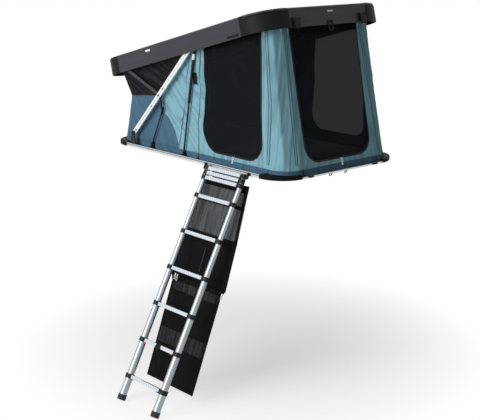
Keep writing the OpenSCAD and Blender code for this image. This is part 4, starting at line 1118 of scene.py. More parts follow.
class ROOF_TENT_OT_stage(bpy.types.Operator):
    """Set the camera, the soft lights and the pale floor"""

    bl_idname = "roof_tent.stage"
    bl_label = "Stage"

    def execute(self, context):
        stage = settings().stage
        scene = context.scene
        scene.view_settings.view_transform = "Standard"
        self.camera(scene)
        self.lamp(scene, "key", (0.0, -7.8, 3.2), 5.5, stage.key_power)
        self.lamp(scene, "fill", (7.0, 2.5, 3.5), 4.0, stage.fill_power)
        self.surroundings(scene, stage.sky)
        self.floor(scene, tuple(stage.floor))
        return {"FINISHED"}

    def camera(self, scene):
        """Camera at the photograph's place and angle."""
        camera = bpy.data.objects.new("camera", bpy.data.cameras.new("camera"))
        scene.collection.objects.link(camera)
        level = math.cos(CAMERA_RISE)
        back = Vector((math.sin(CAMERA_TURN) * level, -math.cos(CAMERA_TURN) * level,
                       math.sin(CAMERA_RISE)))
        camera.location = CAMERA_PLACE
        camera.rotation_euler = (-back).to_track_quat("-Z", "Y").to_euler()
        camera.data.sensor_width = 36.0
        camera.data.lens = FOCAL_PIXELS / PICTURE_WIDTH * camera.data.sensor_width
        camera.data.clip_end = 200.0
        scene.camera = camera

    def lamp(self, scene, name, place, size, power):
        """Large soft lamp aimed at the tent."""
        lamp = bpy.data.objects.new(name, bpy.data.lights.new(name, "AREA"))
        lamp.data.size = size
        lamp.data.energy = power
        lamp.location = place
        aim = Vector((0, 0, 0.2)) - Vector(place)
        lamp.rotation_euler = aim.to_track_quat("-Z", "Y").to_euler()
        scene.collection.objects.link(lamp)

    def surroundings(self, scene, sky):
        """Even light from all round, which is seen and mirrored as plain white."""
        world = bpy.data.worlds.new("surroundings")
        scene.world = world
        world.use_nodes = True
        tree = world.node_tree
        tree.nodes.clear()
        path = add(tree, "LightPath")
        glossy = add(tree, "Math", {0: path.outputs["Is Camera Ray"], 1: path.outputs["Is Glossy Ray"]},
                     operation="MAXIMUM")
        seen = add(tree, "Math", {0: glossy.outputs[0], 1: path.outputs["Is Transmission Ray"]},
                   operation="MAXIMUM")
        strength = add(tree, "MapRange", {0: seen.outputs[0], 3: sky, 4: 1.0})
        light = add(tree, "Background", {"Color": (1.0, 1.0, 1.0, 1.0), "Strength": strength.outputs[0]})
        add(tree, "OutputWorld", {"Surface": light.outputs[0]})

    def floor(self, scene, base):
        """Floor at the height of the ladder's feet."""
        bm = bmesh.new()
        bmesh.ops.create_grid(bm, x_segments=1, y_segments=1, size=40.0)
        bmesh.ops.translate(bm, vec=(0, 0, SOLIDS_BOX[0].z), verts=bm.verts)
        mesh = bpy.data.meshes.new("floor")
        bm.to_mesh(mesh)
        bm.free()
        floor = bpy.data.objects.new("floor", mesh)
        scene.collection.objects.link(floor)
        mesh.materials.append(self.floor_finish(base))

    def floor_finish(self, base):
        """Pale studio floor that runs out to plain white away from the tent."""
        material, tree, shader = start_material("studio_floor", base, 0.9)
        path = add(tree, "LightPath")
        where = add(tree, "VectorMath", {0: coordinates(tree)}, operation="LENGTH")
        far = add(tree, "MapRange", {0: where.outputs["Value"], 1: 0.7, 2: 2.6})
        seen = add(tree, "Math", {0: path.outputs["Is Camera Ray"], 1: path.outputs["Is Glossy Ray"]},
                   operation="MAXIMUM")
        white = add(tree, "Math", {0: far.outputs[0], 1: seen.outputs[0]}, operation="MULTIPLY")
        plain = add(tree, "Emission", {"Color": (1.0, 1.0, 1.0, 1.0), "Strength": 1.0})
        mixed = add(tree, "MixShader", {0: white.outputs[0], 1: shader.outputs[0], 2: plain.outputs[0]})
        tree.links.new(mixed.outputs[0], tree.nodes["Material Output"].inputs["Surface"])
        return material


class ROOF_TENT_OT_base(bpy.types.Operator):
    """Finish the base tray and model its moulded corners"""

    bl_idname = "roof_tent.base"
    bl_label = "Base tray"

    def execute(self, context):
        for node, short in (("mount_channels", "rail"), ("floor_panel", "panel"), ("side_rails", "rail"),
                            ("end_rails", "cross_rail"), ("keder_rail", "rail"),
                            ("link_brackets", "black_steel"), ("ladder_hooks", "black_steel"),
                            ("latch_keepers", "black_steel")):
            dress(node, short)
        profile = [(209, 20), (213, 20), (215, 22), (215, 30), (214.2, 31), (214.2, 33), (215, 34),
                   (215, 46), (213.6, 49.4), (210.5, 51), (206, 51), (204, 49.5), (209, 48)]
        corners = bmesh.new()
        place = Matrix.Translation((HALF_LENGTH - 215, 215 - HALF_WIDTH, 0))
        for end, wall, radius in ((Matrix.Identity(4), WALL_REAR, REAR_CORNER),
                                  (MIRROR_X, -WALL_FRONT, FRONT_CORNER)):
            for mirror in SIDES:
                join(corners, sweep_corner(profile, 19, 3, 20), end @ mirror @ place)
                join(corners, self.shelf(wall + 3, radius + 3), end @ mirror)
        make_piece("base_corner_mouldings", corners, "base", ["base_moulding"],
                   ["base_corners"])
        self.rail_parts()
        return {"FINISHED"}

    def shelf(self, wall, radius):
        """Shelf of a corner moulding between its ring and the foot of the walls."""
        inner_y = WALL_Y + 3
        outer = [(816, -644)] + arc_points((835, -435), 209, -90, 0) + [(1044, -432)]
        bend = [p for p in arc_points((wall - radius, radius - inner_y), radius, 0, -90) if p[1] < -432]
        bm = bmesh.new()
        ring = outer + [(wall, -432)] + bend + [(816, -inner_y)]
        face = bm.faces.new([bm.verts.new((x, y, 48.0)) for x, y in ring])
        push(bm, face, (0, 0, 3.0))
        bmesh.ops.recalc_face_normals(bm, faces=bm.faces)
        return bm

    def rail_parts(self):
        """Screws along the rails, tie-down eyes under the rear rail, clips, and dark strips in the rails'
        grooves that are painted shade.
        """
        bm = bmesh.new()
        for side in (-1, 1):
            for x in (-760, -380, 0, 380, 760):
                add_drum(bm, (x, side * 647.6, 26.5), (x, side * 649.4, 26.5), 4.2, 16, 0.8)
            for y in (-380, -190, 190, 380):
                add_drum(bm, (side * 1047.6, y, 26.5), (side * 1049.4, y, 26.5), 4.2, 16, 0.8)
        make_piece("rail_screws", bm, "base", ["bright_steel"])
        eyes = bmesh.new()
        for y in (-131, 31):
            add_block(eyes, (1020, y - 14, 14), (1046, y + 14, 20), 1.5)
            ring = [(1036, y + 11 * math.cos(a), 12 + 11 * math.sin(a)) for a in angles(math.tau, 20)]
            add_tube(eyes, ring, 3.0, 8, True)
        make_piece("tie_down_eyes", eyes, "base", ["dark"])
        clips = bmesh.new()
        for end in (-1, 1):
            for side in (-1, 1):
                low, high = sorted((end * 1029, end * 1041)), sorted((side * 352, side * 430))
                add_block(clips, (low[0], high[0], 26.3), (low[1], high[1], 43), 2.5, 3)
        make_piece("rail_end_clips", clips, "base", ["nylon"])
        # Dark strips in the rails' grooves: painted shade of the grooves, drawn as thin blocks.
        shade_strips = bmesh.new()
        for side in (-1, 1):
            low, high = sorted((side * 646.9, side * 648.3))
            add_block(shade_strips, (-812, low, 38.5), (812, high, 44.5), 0.3, 1)
            low, high = sorted((side * 1046.9, side * 1048.3))
            add_block(shade_strips, (low, -428, 32.5), (high, 428, 36.0), 0.3, 1)
        make_piece("rail_groove_shade_strips", shade_strips, "base", ["groove_shade"])


class ROOF_TENT_OT_lid(bpy.types.Operator):
    """Model the lid's skirt profiles and corner caps, and finish its panels"""

    bl_idname = "roof_tent.lid"
    bl_label = "Lid"

    def execute(self, context):
        for node, short in (("roof_panel", "panel"), ("lid_keder", "rail"), ("roller_tracks", "rail"),
                            ("lid_brackets", "black_steel"), ("edge_strips", "strip"),
                            ("latch_housings", "nylon"), ("latch_lever_left", "dark"),
                            ("latch_lever_right", "dark")):
            dress(node, short)
        self.skirts()
        self.caps()
        self.small_parts()
        return {"FINISHED"}

    def skirts(self):
        """Extruded skirt with a rounded top edge, two fine grooves and a turned-in foot."""
        section = [(-4, 138), (-3, 139.4), (-1.5, 140), (0, 140), (0, 4), (2.5, 3), (2.5, 0), (-2.5, 0),
                   (-4, 1.5), (-4, 41), (-3.1, 41.4), (-3.1, 43), (-4, 43.4), (-4, 119), (-3.1, 119.4),
                   (-3.1, 121), (-4, 121.4)]
        sides = bmesh.new()
        run = LID_LENGTH - 2 * CAP_SIDE
        for mirror in SIDES:
            bar = extrude_profile([(0, y, v) for y, v in section], (CAP_SIDE - LID_LENGTH, -643, 0),
                                  (run, 0, 0))
            join(sides, bar, on_lid() @ mirror)
        make_piece("side_skirt_profiles", sides, "lid", ["profile"], ["side_skirts"])
        ends = bmesh.new()
        wide = 2 * (HALF_WIDTH - CAP_END)
        for x, face in ((-7.0, -1.0), (7.0 - LID_LENGTH, 1.0)):
            bar = extrude_profile([(y * face, 0, v) for y, v in section], (x, CAP_END - HALF_WIDTH, 0),
                                  (0, wide, 0))
            join(ends, bar, on_lid())
        make_piece("end_skirt_profiles", ends, "lid", ["profile"], ["end_skirts"])

    def caps(self):
        """Moulded corner caps: the rear ones stand proud with a sloping lip, the front ones are ribbed."""
        lip = [(233, 0), (238.5, 0), (240, 1.5), (240, 116), (238.2, 117), (238.2, 119.5), (240, 120.5),
               (239, 124), (232, 132.5), (222, 141), (213, 146.5), (209, 148), (206, 147), (206, 140.5),
               (233, 140.5)]
        rear = bmesh.new()
        place = Matrix.Translation((-LID_CORNER, LID_CORNER - HALF_WIDTH, 0))
        for mirror in SIDES:
            cap = sweep_corner(lip, CAP_SIDE - LID_CORNER, CAP_END - LID_CORNER, 32)
            join(rear, cap, on_lid() @ mirror @ place)
        make_piece("rear_cap_mouldings", rear, "lid", ["moulding"], ["rear_caps"])
        flat = [(233, 0), (238.5, 0), (240, 1.5), (240, 130), (238, 137), (233, 141), (224, 142),
                (220, 141.4), (220, 140.5), (233, 140.5)]
        front = bmesh.new()
        place = Matrix.Translation((LID_CORNER - LID_LENGTH, LID_CORNER - HALF_WIDTH, 0)) @ MIRROR_X
        for mirror in SIDES:
            cap = sweep_corner(flat, CAP_SIDE - LID_CORNER, CAP_END - LID_CORNER, 32)
            for degrees in (12, 26, 40, 54, 68):
                rib = bmesh.new()
                for height in (14, 74):
                    add_block(rib, (-6, -240.9, height), (6, -239, height + 48), 0.8)
                join(cap, rib, Matrix.Rotation(math.radians(degrees), 4, "Z"))
            join(front, cap, on_lid() @ mirror @ place)
        make_piece("front_cap_mouldings", front, "lid", ["moulding"], ["front_caps"])

    def small_parts(self):
        """Grip recesses, bare plates, cap screws, latch screws and the pull loop."""
        grips = bmesh.new()
        for mirror in SIDES:
            grip = bmesh.new()
            add_block(grip, (-426, -648.2, 12), (-293, -645, 29), 1.5, 3)
            across = [e for e in grip.edges if abs(e.verts[0].co.y - e.verts[1].co.y) > 1]
            bmesh.ops.bevel(grip, geom=across, offset=0.4, offset_type="OFFSET", affect="EDGES", segments=1,
                            profile=0.5, material=-1)
            add_block(grip, (-420, -649.6, 23), (-299, -646, 27.5), 1.4, 3)
            join(grips, grip, on_lid() @ mirror)
        make_piece("grip_recesses", grips, "lid", ["dark"])
        plates = bmesh.new()
        add_block(plates, (-1432, -648.0, 100), (-1368, -646.6, 114), 0.5)
        add_block(plates, (-3.4, -8, 94), (-2.2, 50, 107), 0.5)
        move(plates, on_lid())
        make_piece("bare_plates", plates, "lid", ["pale"])
        screws = bmesh.new()
        for side in (-1, 1):
            for x in (-254, 254 - LID_LENGTH):
                for v in (30, 100):
                    add_drum(screws, (x, side * 649.2, v), (x, side * 650.6, v), 4.5, 16, 0.6)
            for y in (-27, 27):
                for v in (14, 62):
                    add_drum(screws, (3.6, side * 347 + y, v), (5.0, side * 347 + y, v), 3.2, 14, 0.5)
        move(screws, on_lid())
        make_piece("lid_screws", screws, "lid", ["dark"])
        loop = bmesh.new()
        path = smooth_path([(-1, -20, 20), (2, -20, 6), (3, -19, -20), (3.2, -10, -42), (3.2, 10, -42),
                            (3, 19, -20), (2, 20, 6), (-1, 20, 20)], 40)
        add_ribbon(loop, path, [(1, 0, 0.15)] * len(path), 11, 1.8)
        add_block(loop, (-3, -29, 12), (0.8, 29, 32), 1.2)
        move(loop, on_lid())
        make_piece("pull_loop", loop, "lid", ["webbing"], ["pull_strap"])


class ROOF_TENT_OT_soft(bpy.types.Operator):
    """Model the mattress and the padded roof liner"""

    bl_idname = "roof_tent.soft"
    bl_label = "Mattress and liner"

    def execute(self, context):
        self.mattress()
        self.liner()
        return {"FINISHED"}

    def rounded(self, bm, columns, rows, length, width, radius):
        """Fit a grid to a rounded rectangle and return how far each point lies in from its edge."""
        bmesh.ops.create_grid(bm, x_segments=columns, y_segments=rows, size=1.0)
        inset = {}
        for vert in bm.verts:
            y = vert.co.y * width / 2
            over = max(0.0, abs(y) - (width / 2 - radius))
            reach = length / 2 - radius + math.sqrt(max(radius ** 2 - over ** 2, 0.0))
            x = vert.co.x * reach
            out_x, out_y = abs(x) - length / 2 + radius, abs(y) - width / 2 + radius
            gap = math.hypot(max(out_x, 0), max(out_y, 0)) + min(max(out_x, out_y), 0) - radius
            inset[vert] = max(0.0, -gap)
            vert.co = (x, y, 0)
        return inset

    def mattress(self):
        """Foam mattress in a knitted cover: crowned, quilted in squares and piped along both edges."""
        bm = bmesh.new()
        length, width = WALL_REAR - WALL_FRONT - 56.8, 2 * (WALL_Y - 28.4)
        inset = self.rounded(bm, 128, 80, length - 28, width - 28, 100.0)
        for vert, gap in inset.items():
            x, y = vert.co.x, vert.co.y
            crown = 17.0 * (1 - math.exp(-gap / 70.0)) ** 0.7
            quilt = min(abs(math.sin(math.pi * x / 190)), abs(math.sin(math.pi * y / 190))) ** 0.5
            vert.co.z = FLOOR_Z + 46.0 + crown + (2.6 * quilt - 2.6) * min(1.0, gap / 40)
        bm.normal_update()
        rim = [e for e in bm.edges if e.is_boundary]
        for rise, grow in ((-12, 12), (-14, 4), (-12, -4), (-8, -10)):
            made = bmesh.ops.extrude_edge_only(bm, edges=rim)["geom"]
            for vert in of_kind(made, bmesh.types.BMVert):
                centre = Vector((max(-length / 2 + 114, min(length / 2 - 114, vert.co.x)),
                                 max(-width / 2 + 114, min(width / 2 - 114, vert.co.y)), vert.co.z))
                vert.co += (vert.co - centre).normalized() * grow + Vector((0, 0, rise))
            rim = of_kind(made, bmesh.types.BMEdge)
        low = {v for e in rim for v in e.verts}
        for vert in low:
            vert.co.z = FLOOR_Z + 0.3
        bmesh.ops.holes_fill(bm, edges=rim, sides=0)
        bmesh.ops.recalc_face_normals(bm, faces=bm.faces)
        bmesh.ops.translate(bm, vec=((WALL_FRONT + WALL_REAR) / 2, 0, 0), verts=bm.verts)
        pad = make_piece("mattress_pad", bm, "base", ["cover"], ["mattress"])
        piping = bmesh.new()
        for z, inwards in ((FLOOR_Z + 36, 0.0), (FLOOR_Z + 10, 2.0)):
            ring = outline(WALL_FRONT + 29 + inwards, WALL_REAR - 29 - inwards, WALL_Y - 29 - inwards,
                           112.0, 10)
            add_tube(piping, [(x, y, z) for x, y in ring], 2.6, 8, True)
        make_piece("mattress_piping", piping, "base", ["webbing"])

    def liner(self):
        """Felt liner over foam, buttoned in a grid, under the roof panel."""
        bm = bmesh.new()
        length, width = LID_LENGTH - 170 - WALL_TOP_REAR - 22, 2 * (WALL_Y - 11)
        inset = self.rounded(bm, 110, 66, length, width, 153.0)
        for vert, gap in inset.items():
            x, y = vert.co.x, vert.co.y
            quilt = abs(math.sin(math.pi * x / 230) * math.sin(math.pi * y / 230)) ** 0.4
            vert.co.z = 133.0 - 8.6 * min(1.0, gap / 30) * (0.35 + 0.65 * quilt)
        rim = [e for e in bm.edges if e.is_boundary]
        made = bmesh.ops.extrude_edge_only(bm, edges=rim)["geom"]
        for vert in of_kind(made, bmesh.types.BMVert):
            vert.co.z = 133.8
        bmesh.ops.holes_fill(bm, edges=of_kind(made, bmesh.types.BMEdge), sides=0)
        bmesh.ops.recalc_face_normals(bm, faces=bm.faces)
        bmesh.ops.translate(bm, vec=(-WALL_TOP_REAR - 11 - length / 2, 0, 0), verts=bm.verts)
        move(bm, on_lid())
        pad = make_piece("roof_liner_pad", bm, "lid", ["liner"], ["roof_liner"])


def outline(x0, x1, half, radius, steps):
    """Points of a rounded rectangle, counter-clockwise."""
    points = []
    for cx, cy, start in ((x1 - radius, radius - half, -90), (x1 - radius, half - radius, 0),
                          (x0 + radius, half - radius, 90), (x0 + radius, radius - half, 180)):
        points += arc_points((cx, cy), radius, start, start + 90, 90 / steps)
    return points


class ROOF_TENT_OT_linkage(bpy.types.Operator):
    """Finish the lift linkage and add its caps, sleeves and bolts"""

    bl_idname = "roof_tent.linkage"
    bl_label = "Lift linkage"

    def execute(self, context):
        for node, short in (("lift_arms", "arm"), ("rollers", "dark"), ("brace_arms", "brace"),
                            ("tie_rods", "black_steel"), ("gas_rods", "nitrided"),
                            ("gas_cylinders", "black_steel")):
            dress(node, short)
        braces = SOLIDS["brace_arms"].data
        braces.materials.append(finish("black_steel"))
        for face in braces.polygons:
            if face.center.z * 1000 < BRACE_PIVOT[1] - 16:
                face.material_index = 1
        self.rivets()
        self.springs()
        self.bolts()
        return {"FINISHED"}

    def springs(self):
        """Pale sleeves round the gas springs' tubes, and the glands where their rods come out."""
        low, high = Vector(SPRING_PIVOT), Vector(ROLLER)
        run = (high - low).normalized()
        reach = (high - low).length
        sleeves = bmesh.new()
        for side in (-1, 1):
            ring = bmesh.new()
            verts = [ring.verts.new((r, 0, z)) for r, z in ((11.05, 0), (11.6, 0), (11.6, 46), (11.05, 46))]
            edges = [ring.edges.new((verts[i - 1], verts[i])) for i in range(4)]
            bmesh.ops.spin(ring, geom=verts + edges, cent=(0, 0, 0), axis=(0, 0, 1), angle=math.tau,
                           steps=28, use_merge=True)
            bmesh.ops.remove_doubles(ring, verts=ring.verts, dist=0.001)
            bmesh.ops.recalc_face_normals(ring, faces=ring.faces)
            foot = low + run * (reach - 116)
            turn = Vector((0, 0, 1)).rotation_difference(Vector((run.x, 0, run.y))).to_matrix().to_4x4()
            join(sleeves, ring, Matrix.Translation((foot.x, side * SPRING_Y, foot.y)) @ turn)
        make_piece("gas_spring_sleeves", sleeves, "gas_cylinders", ["pale"])
        glands = bmesh.new()
        start = reach - SPRING_EYE - SPRING_TUBE
        ends = [low + run * along for along in (start - 0.6, start + 16)]
        for side in (-1, 1):
            foot, top = [(p.x, side * SPRING_Y, p.y) for p in ends]
            add_drum(glands, foot, top, 11.4, 28, 1.0)
        make_piece("gas_spring_glands", glands, "gas_cylinders", ["nylon"])

    def bolts(self):
        """Pivot bolts of the braces and of the lift arms, and the bolts of the arms' feet."""
        bolts = bmesh.new()
        for side in (-1, 1):
            x, z = BRACE_PIVOT
            add_drum(bolts, (x, side * 629.4, z), (x, side * 633.5, z), 9.5, 6, 1.0)
        make_piece("brace_pivot_bolts", bolts, "lift_arms", ["black_steel"])
        feet = bmesh.new()
        for side in (-1, 1):
            x, z = ARM_PIVOT
            add_drum(feet, (x, side * 637.8, z), (x, side * 642.0, z), 10.5, 6, 1.0)
            for dx in (-36, 36):
                add_drum(feet, (x + dx, side * 634, 30.8), (x + dx, side * 634, 34.5), 6.0, 6, 0.7)
        make_piece("arm_pivot_bolts", feet, "base", ["dark"])

    def rivets(self):
        """Black rivets along the lift arms, and the shaded groove in their faces."""
        bm = bmesh.new()
        run = Vector((ROLLER[0] - ARM_PIVOT[0], ROLLER[1] - ARM_PIVOT[1])).normalized()
        for side in (-1, 1):
            for along in (46, 353, 575):
                x, z = Vector(ARM_PIVOT) + run * along
                add_drum(bm, (x, side * 627.6, z), (x, side * 629.2, z), 6.5, 18, 0.6)
        make_piece("arm_rivets", bm, "lift_arms", ["dark"])
        grooves = bmesh.new()
        across = Vector((-run.y, run.x))
        for side in (-1, 1):
            corners = [Vector(ARM_PIVOT) + run * along + across * off
                       for along, off in ((62, -4), (1020, -4), (1020, 4), (62, 4))]
            face = grooves.faces.new([grooves.verts.new((p.x, side * 628.2, p.y)) for p in corners])
            push(grooves, face, (0, side * 0.3, 0))
        bmesh.ops.recalc_face_normals(grooves, faces=grooves.faces)
        make_piece("arm_grooves", grooves, "lift_arms", ["groove"])


class ROOF_TENT_OT_walls(bpy.types.Operator):
    """Model the fabric walls and the mesh windows"""

    bl_idname = "roof_tent.walls"
    bl_label = "Walls and windows"

    def execute(self, context):
        skin = wall_skin()
        # Each panel with the first side of its flat size in metres and its distance out from the wall
        for name, panel, side, lift, finishes, slot, nodes in (
                ("foot_band", BAND, 0.051, 0.0, ["front_canvas", "lining"], "slate_canvas",
                 ["canvas_band"]),
                ("front_panels", FRONT, 0.355, 0.0, ["front_canvas", "lining"], "slate_canvas",
                 ["canvas_front"]),
                ("front_gusset", GUSSET, 0.5, 0.0, ["gusset", "lining"], "black_canvas", ["canvas_gusset"]),
                ("side_and_rear_walls", SIDE, 1.0, 0.0, ["side_canvas", "lining"], "teal_canvas",
                 ["canvas_sides", "canvas_rear"]),
                ("side_window_mesh", SIDE_MESH, 0.9, -3.0, ["mesh", "mesh"], "mesh", ["mesh_sides"]),
                ("rear_window_mesh", REAR_MESH, 0.95, -3.0, ["mesh", "mesh"], "mesh", ["mesh_rear"])):
            bm = panel_of(skin, panel, lift)
            area = area_of(bm)
            body = "lid" if panel == GUSSET else "base"
            piece = make_piece(name, bm, body, finishes, nodes, CLOTH_SHARP)
            if panel in (BAND, FRONT, GUSSET, SIDE):
                thicken(piece, CLOTH)
            if panel == GUSSET:
                fold_under_lid(piece)
            elif panel != BAND:
                fold_with_lid(piece)
        skin.free()
        return {"FINISHED"}


class ROOF_TENT_OT_trim(bpy.types.Operator):
    """Sew seams, bindings and zips on the walls, and hang straps, pulls and toggles on them"""

    bl_idname = "roof_tent.trim"
    bl_label = "Wall trim"

    def execute(self, context):
        self.seams()
        self.bindings()
        self.zips()
        self.straps()
        self.pulls()
        return {"FINISHED"}

    def tape(self, name, paths, width, short, slot, lift=1.4):
        """One piece of tape along several paths, each with the side it lies on."""
        bm = bmesh.new()
        for side, path in paths:
            wall_strip(bm, path, width, side, lift)
        face_outwards(bm)
        fold_with_lid(make_piece(name, bm, "base", [short], sharp=CLOTH_SHARP))

    def seams(self):
        """Felled seams between the panels and down the corners."""
        slate, teal, black = [], [], []
        for side in (-1, 1):
            bow = [(x + 5, z + 3) for x, z in front_panel()[1:-1]]
            slate.append((side, [p for p in bow if p[1] > BAND_Z + 2]
                          + [(PANEL_REAR, PANEL_TOP + 7), (PANEL_REAR, FOLD_Z)]))
            slate.append((side, [(s, fold_seam(s) - 6) for s in range(-1400, -425, 30)]))
            teal.append((side, [(-62, 800), (-102, 600), (-122, 474), (-142, 319), (-180, 177),
                                (-202, 79)]))
            teal.append((side, [(-128, 440), (-150, 319), (-188, 177), (-216, 79)]))
            for top, middle, foot in ((758, 816, 828), (776, 836, 844)):
                teal.append((side, [(top, 1085), ((top + middle) / 2, 820), (middle, 560),
                                    ((middle + foot) / 2, 300), (foot, 112)]))
            for y0, y1 in ((382, 436), (404, 452)):
                teal.append((side, [(rear_along(y0 + (y1 - y0) * i / 8, 1090 - 122 * i), 1090 - 122 * i)
                                    for i in range(9)]))
            black.append((side, [(-440 + 444 * i / 20, 466 + 455 * i / 20) for i in range(21)]))
        foot = []
        for side in (-1, 1):
            rear = wall_limits(BAND_Z)[1]
            foot.append((side, [(-226 + (rear + 226) * i / 100, BAND_Z) for i in range(101)]))
        self.tape("front_seams", slate, 13, "front_seam", "slate_canvas")
        self.tape("side_seams", teal, 8, "side_seam", "teal_canvas", 2.2)
        self.tape("gusset_seams", black, 12, "black_seam", "black_canvas")
        self.tape("foot_seam", foot, 6, "front_seam", "slate_canvas")

    def bindings(self):
        """Black tape round the windows."""
        black = []
        for side in (-1, 1):
            black.append((side, side_window()[-1:] + side_window()[:-1]))
            half = [p for p in rear_window()[:-1] if p[0] >= 0]
            middle = [(0.0, SILL_Z)] + half
            fine = []
            for (y0, z0), (y1, z1) in zip(middle, middle[1:]):
                count = max(1, round(math.hypot(y1 - y0, z1 - z0) / 25))
                fine += [(y0 + (y1 - y0) * i / count, z0 + (z1 - z0) * i / count) for i in range(count)]
            black.append((side, [(rear_along(y, z), z) for y, z in fine]))
        self.tape("window_bindings", black, 13, "black_seam", "black_canvas", 1.0)
        hems = bmesh.new()
        for side in (-1, 1):
            wall_strip(hems, side_window(22)[-1:] + side_window(22)[:-1], 46, side, -8.0, -9.0)
        face_outwards(hems)
        fold_with_lid(make_piece("window_hems", hems, "base", ["lining"],
                                 sharp=CLOTH_SHARP))

    def zips(self):
        """Long zips beside the side windows' front edges."""
        paths = [(side, [(78, 880), (66, 675), (52, 431), (46, 239), (48, 60)]) for side in (-1, 1)]
        self.tape("side_zips", paths, 13, "zip", "black_canvas", 2.4)

    def straps(self):
        """Hold-down straps with a buckle between gas spring and zip, and toggles over the windows."""
        bm = bmesh.new()
        buckles = bmesh.new()
        for side in (-1, 1):
            wall_strip(bm, [(-8, 890), (4, 760), (11, 708)], 20, side, 4.0, 1.5)
            for low, high, wide, deep in ((672, 706, 30, 7), (654, 676, 42, 6), (632, 658, 34, 8),
                                          (616, 634, 44, 6)):
                foot, top = [wall_at(12, z, side, 5) for z in (low, high)]
                add_block_along(buckles, foot, top, wide, deep)
        face_outwards(bm)
        fold_with_lid(make_piece("buckle_straps", bm, "base", ["strap"], sharp=CLOTH_SHARP))
        fold_with_lid(make_piece("strap_buckles", buckles, "base", ["dark"]))
        hooks = bmesh.new()
        for side in (-1, 1):
            for s, z in ((244, 905), (577, 992)):
                arch = [wall_at(s + 22 * math.cos(a), z + 16 * math.sin(a), side, 2.5)
                        for a in angles(math.pi, 12) + [math.pi]]
                add_tube(hooks, arch, 3.0, 8)
        for y in (-190, 190):
            side = 1 if y > 0 else -1
            arch = [wall_at(rear_along(y + 20 * math.cos(a), 1050), 1044 - 16 * math.sin(a), side, 3)
                    for a in angles(math.pi, 12) + [math.pi]]
            add_tube(hooks, arch, 3.0, 8)
        fold_with_lid(make_piece("window_toggles", hooks, "base", ["webbing"]))

    def pulls(self):
        """Pale zip pulls over the foot band, pale toggles at the lid's edge and black tabs at the foot."""
        bm = bmesh.new()
        for side in (-1, 1):
            for start in (452, 470):
                self.zip_pull(bm, [wall_at(start + (448 - start) * i / 8, 117 - 55 * i / 8, side, 4 + i % 2)
                                   for i in range(9)])
        for start in (10, 28):
            along = [rear_along(start + (8 - start) * i / 8, 100) for i in range(9)]
            self.zip_pull(bm, [wall_at(s, 117 - 55 * i / 8, 1, 4 + i % 2) for i, s in enumerate(along)])
        make_piece("zip_pulls", bm, "base", ["pale"])
        toggles = bmesh.new()
        for side in (-1, 1):
            for s, z in ((752, 1062), (rear_along(436, 1078), 1084), (rear_along(372, 1078), 1080)):
                top = wall_at(s, z, side, 5)
                add_drum(toggles, top, top + Vector((2, 0, -10)), 3.4, 12, 1.0)
                add_drum(toggles, top + Vector((2, 4, -9)), top + Vector((-2, 2, -24)), 2.8, 12, 0.8)
        fold_with_lid(make_piece("edge_toggles", toggles, "base", ["pale"]))
        tabs = bmesh.new()
        for side in (-1, 1):
            for s in (48, 838, 1128):
                wall_strip(tabs, [(s, 82), (s, 60), (s, 32)], 9, side, 2.5)
            wall_strip(tabs, [(20, 30), (44, 46), (50, 60)], 12, side, 4)
        face_outwards(tabs)
        make_piece("foot_tabs", tabs, "base", ["black_seam"], sharp=CLOTH_SHARP)

    def zip_pull(self, bm, spine):
        """Moulded pull: a thin neck with a flat grip at its end."""
        add_tube(bm, spine, 3.0, 8)
        add_drum(bm, spine[-3], spine[-1], 5.6, 12, 1.2)


def add_block_along(bm, start, end, wide, deep):
    """Rounded block between two points, broad across the tent's length."""
    run = Vector(end) - Vector(start)
    block = bmesh.new()
    add_block(block, (-wide / 2, -deep / 2, 0), (wide / 2, deep / 2, run.length), 2.0, 2)
    turn = Vector((0, 0, 1)).rotation_difference(run).to_matrix().to_4x4()
    join(bm, block, Matrix.Translation(start) @ turn)


class ROOF_TENT_OT_ladder(bpy.types.Operator):
    """Finish the ladder and add its release levers and the strap round one tread"""

    bl_idname = "roof_tent.ladder"
    bl_label = "Ladder"

    def execute(self, context):
        reach = LADDER_GAUGE / 2 - 16
        for k in range(1, 10):
            section = dress("ladder_section_%d" % k, "tube")
            section.data.materials.append(finish("tread"))
            for face in section.data.polygons:
                if abs(face.center.x * 1000 - LADDER_TOP[0]) < reach - 16 - 1.6 * k:
                    face.material_index = 1
            dress("ladder_collars_%d" % k, "nylon")
        dress("ladder_feet", "rubber")
        for k in range(2, 10):
            self.levers(k)
        self.tread_strap()
        return {"FINISHED"}

    def tread_strap(self):
        """Webbing wound three times round one tread."""
        strap = bmesh.new()
        half_h, half_d = 15.2, 20.6
        ring = [(-half_d, half_h), (half_d, half_h), (half_d, -half_h), (-half_d, -half_h)]
        for i in range(3):
            wrap = bmesh.new()
            points = [Vector((-20 + 16 * i, y * (1 + 0.02 * i), z * (1 + 0.03 * i))) for y, z in ring]
            loop = smooth_path(points + points[:1], 24)
            normals = [Vector((0, p.y, p.z)) for p in loop]
            add_ribbon(wrap, loop, normals, 19, 2.2)
            join(strap, wrap, on_ladder(RUNGS[7]))
        make_piece("tread_strap", strap, "ladder_8", ["webbing"])

    def levers(self, k):
        """Two thumb levers under a tread. Those of the eighth section are small and red."""
        bm = bmesh.new()
        radius = 16 + 1.6 * (k - 1)
        for side in (-1, 1):
            x = side * (LADDER_GAUGE / 2 - radius - 22)
            if k == 8:
                add_block(bm, (x - 8, -22, -21.5), (x + 8, -14, -14.4), 1.4, 2)
            else:
                add_block(bm, (x - 13, -17, -19), (x + 13, -3, -14.4), 1.4, 2)
        move(bm, on_ladder(RUNGS[k - 1]))
        short = "red" if k == 8 else "dark"
        make_piece("thumb_levers_%d" % k, bm, "ladder_%d" % k, [short])


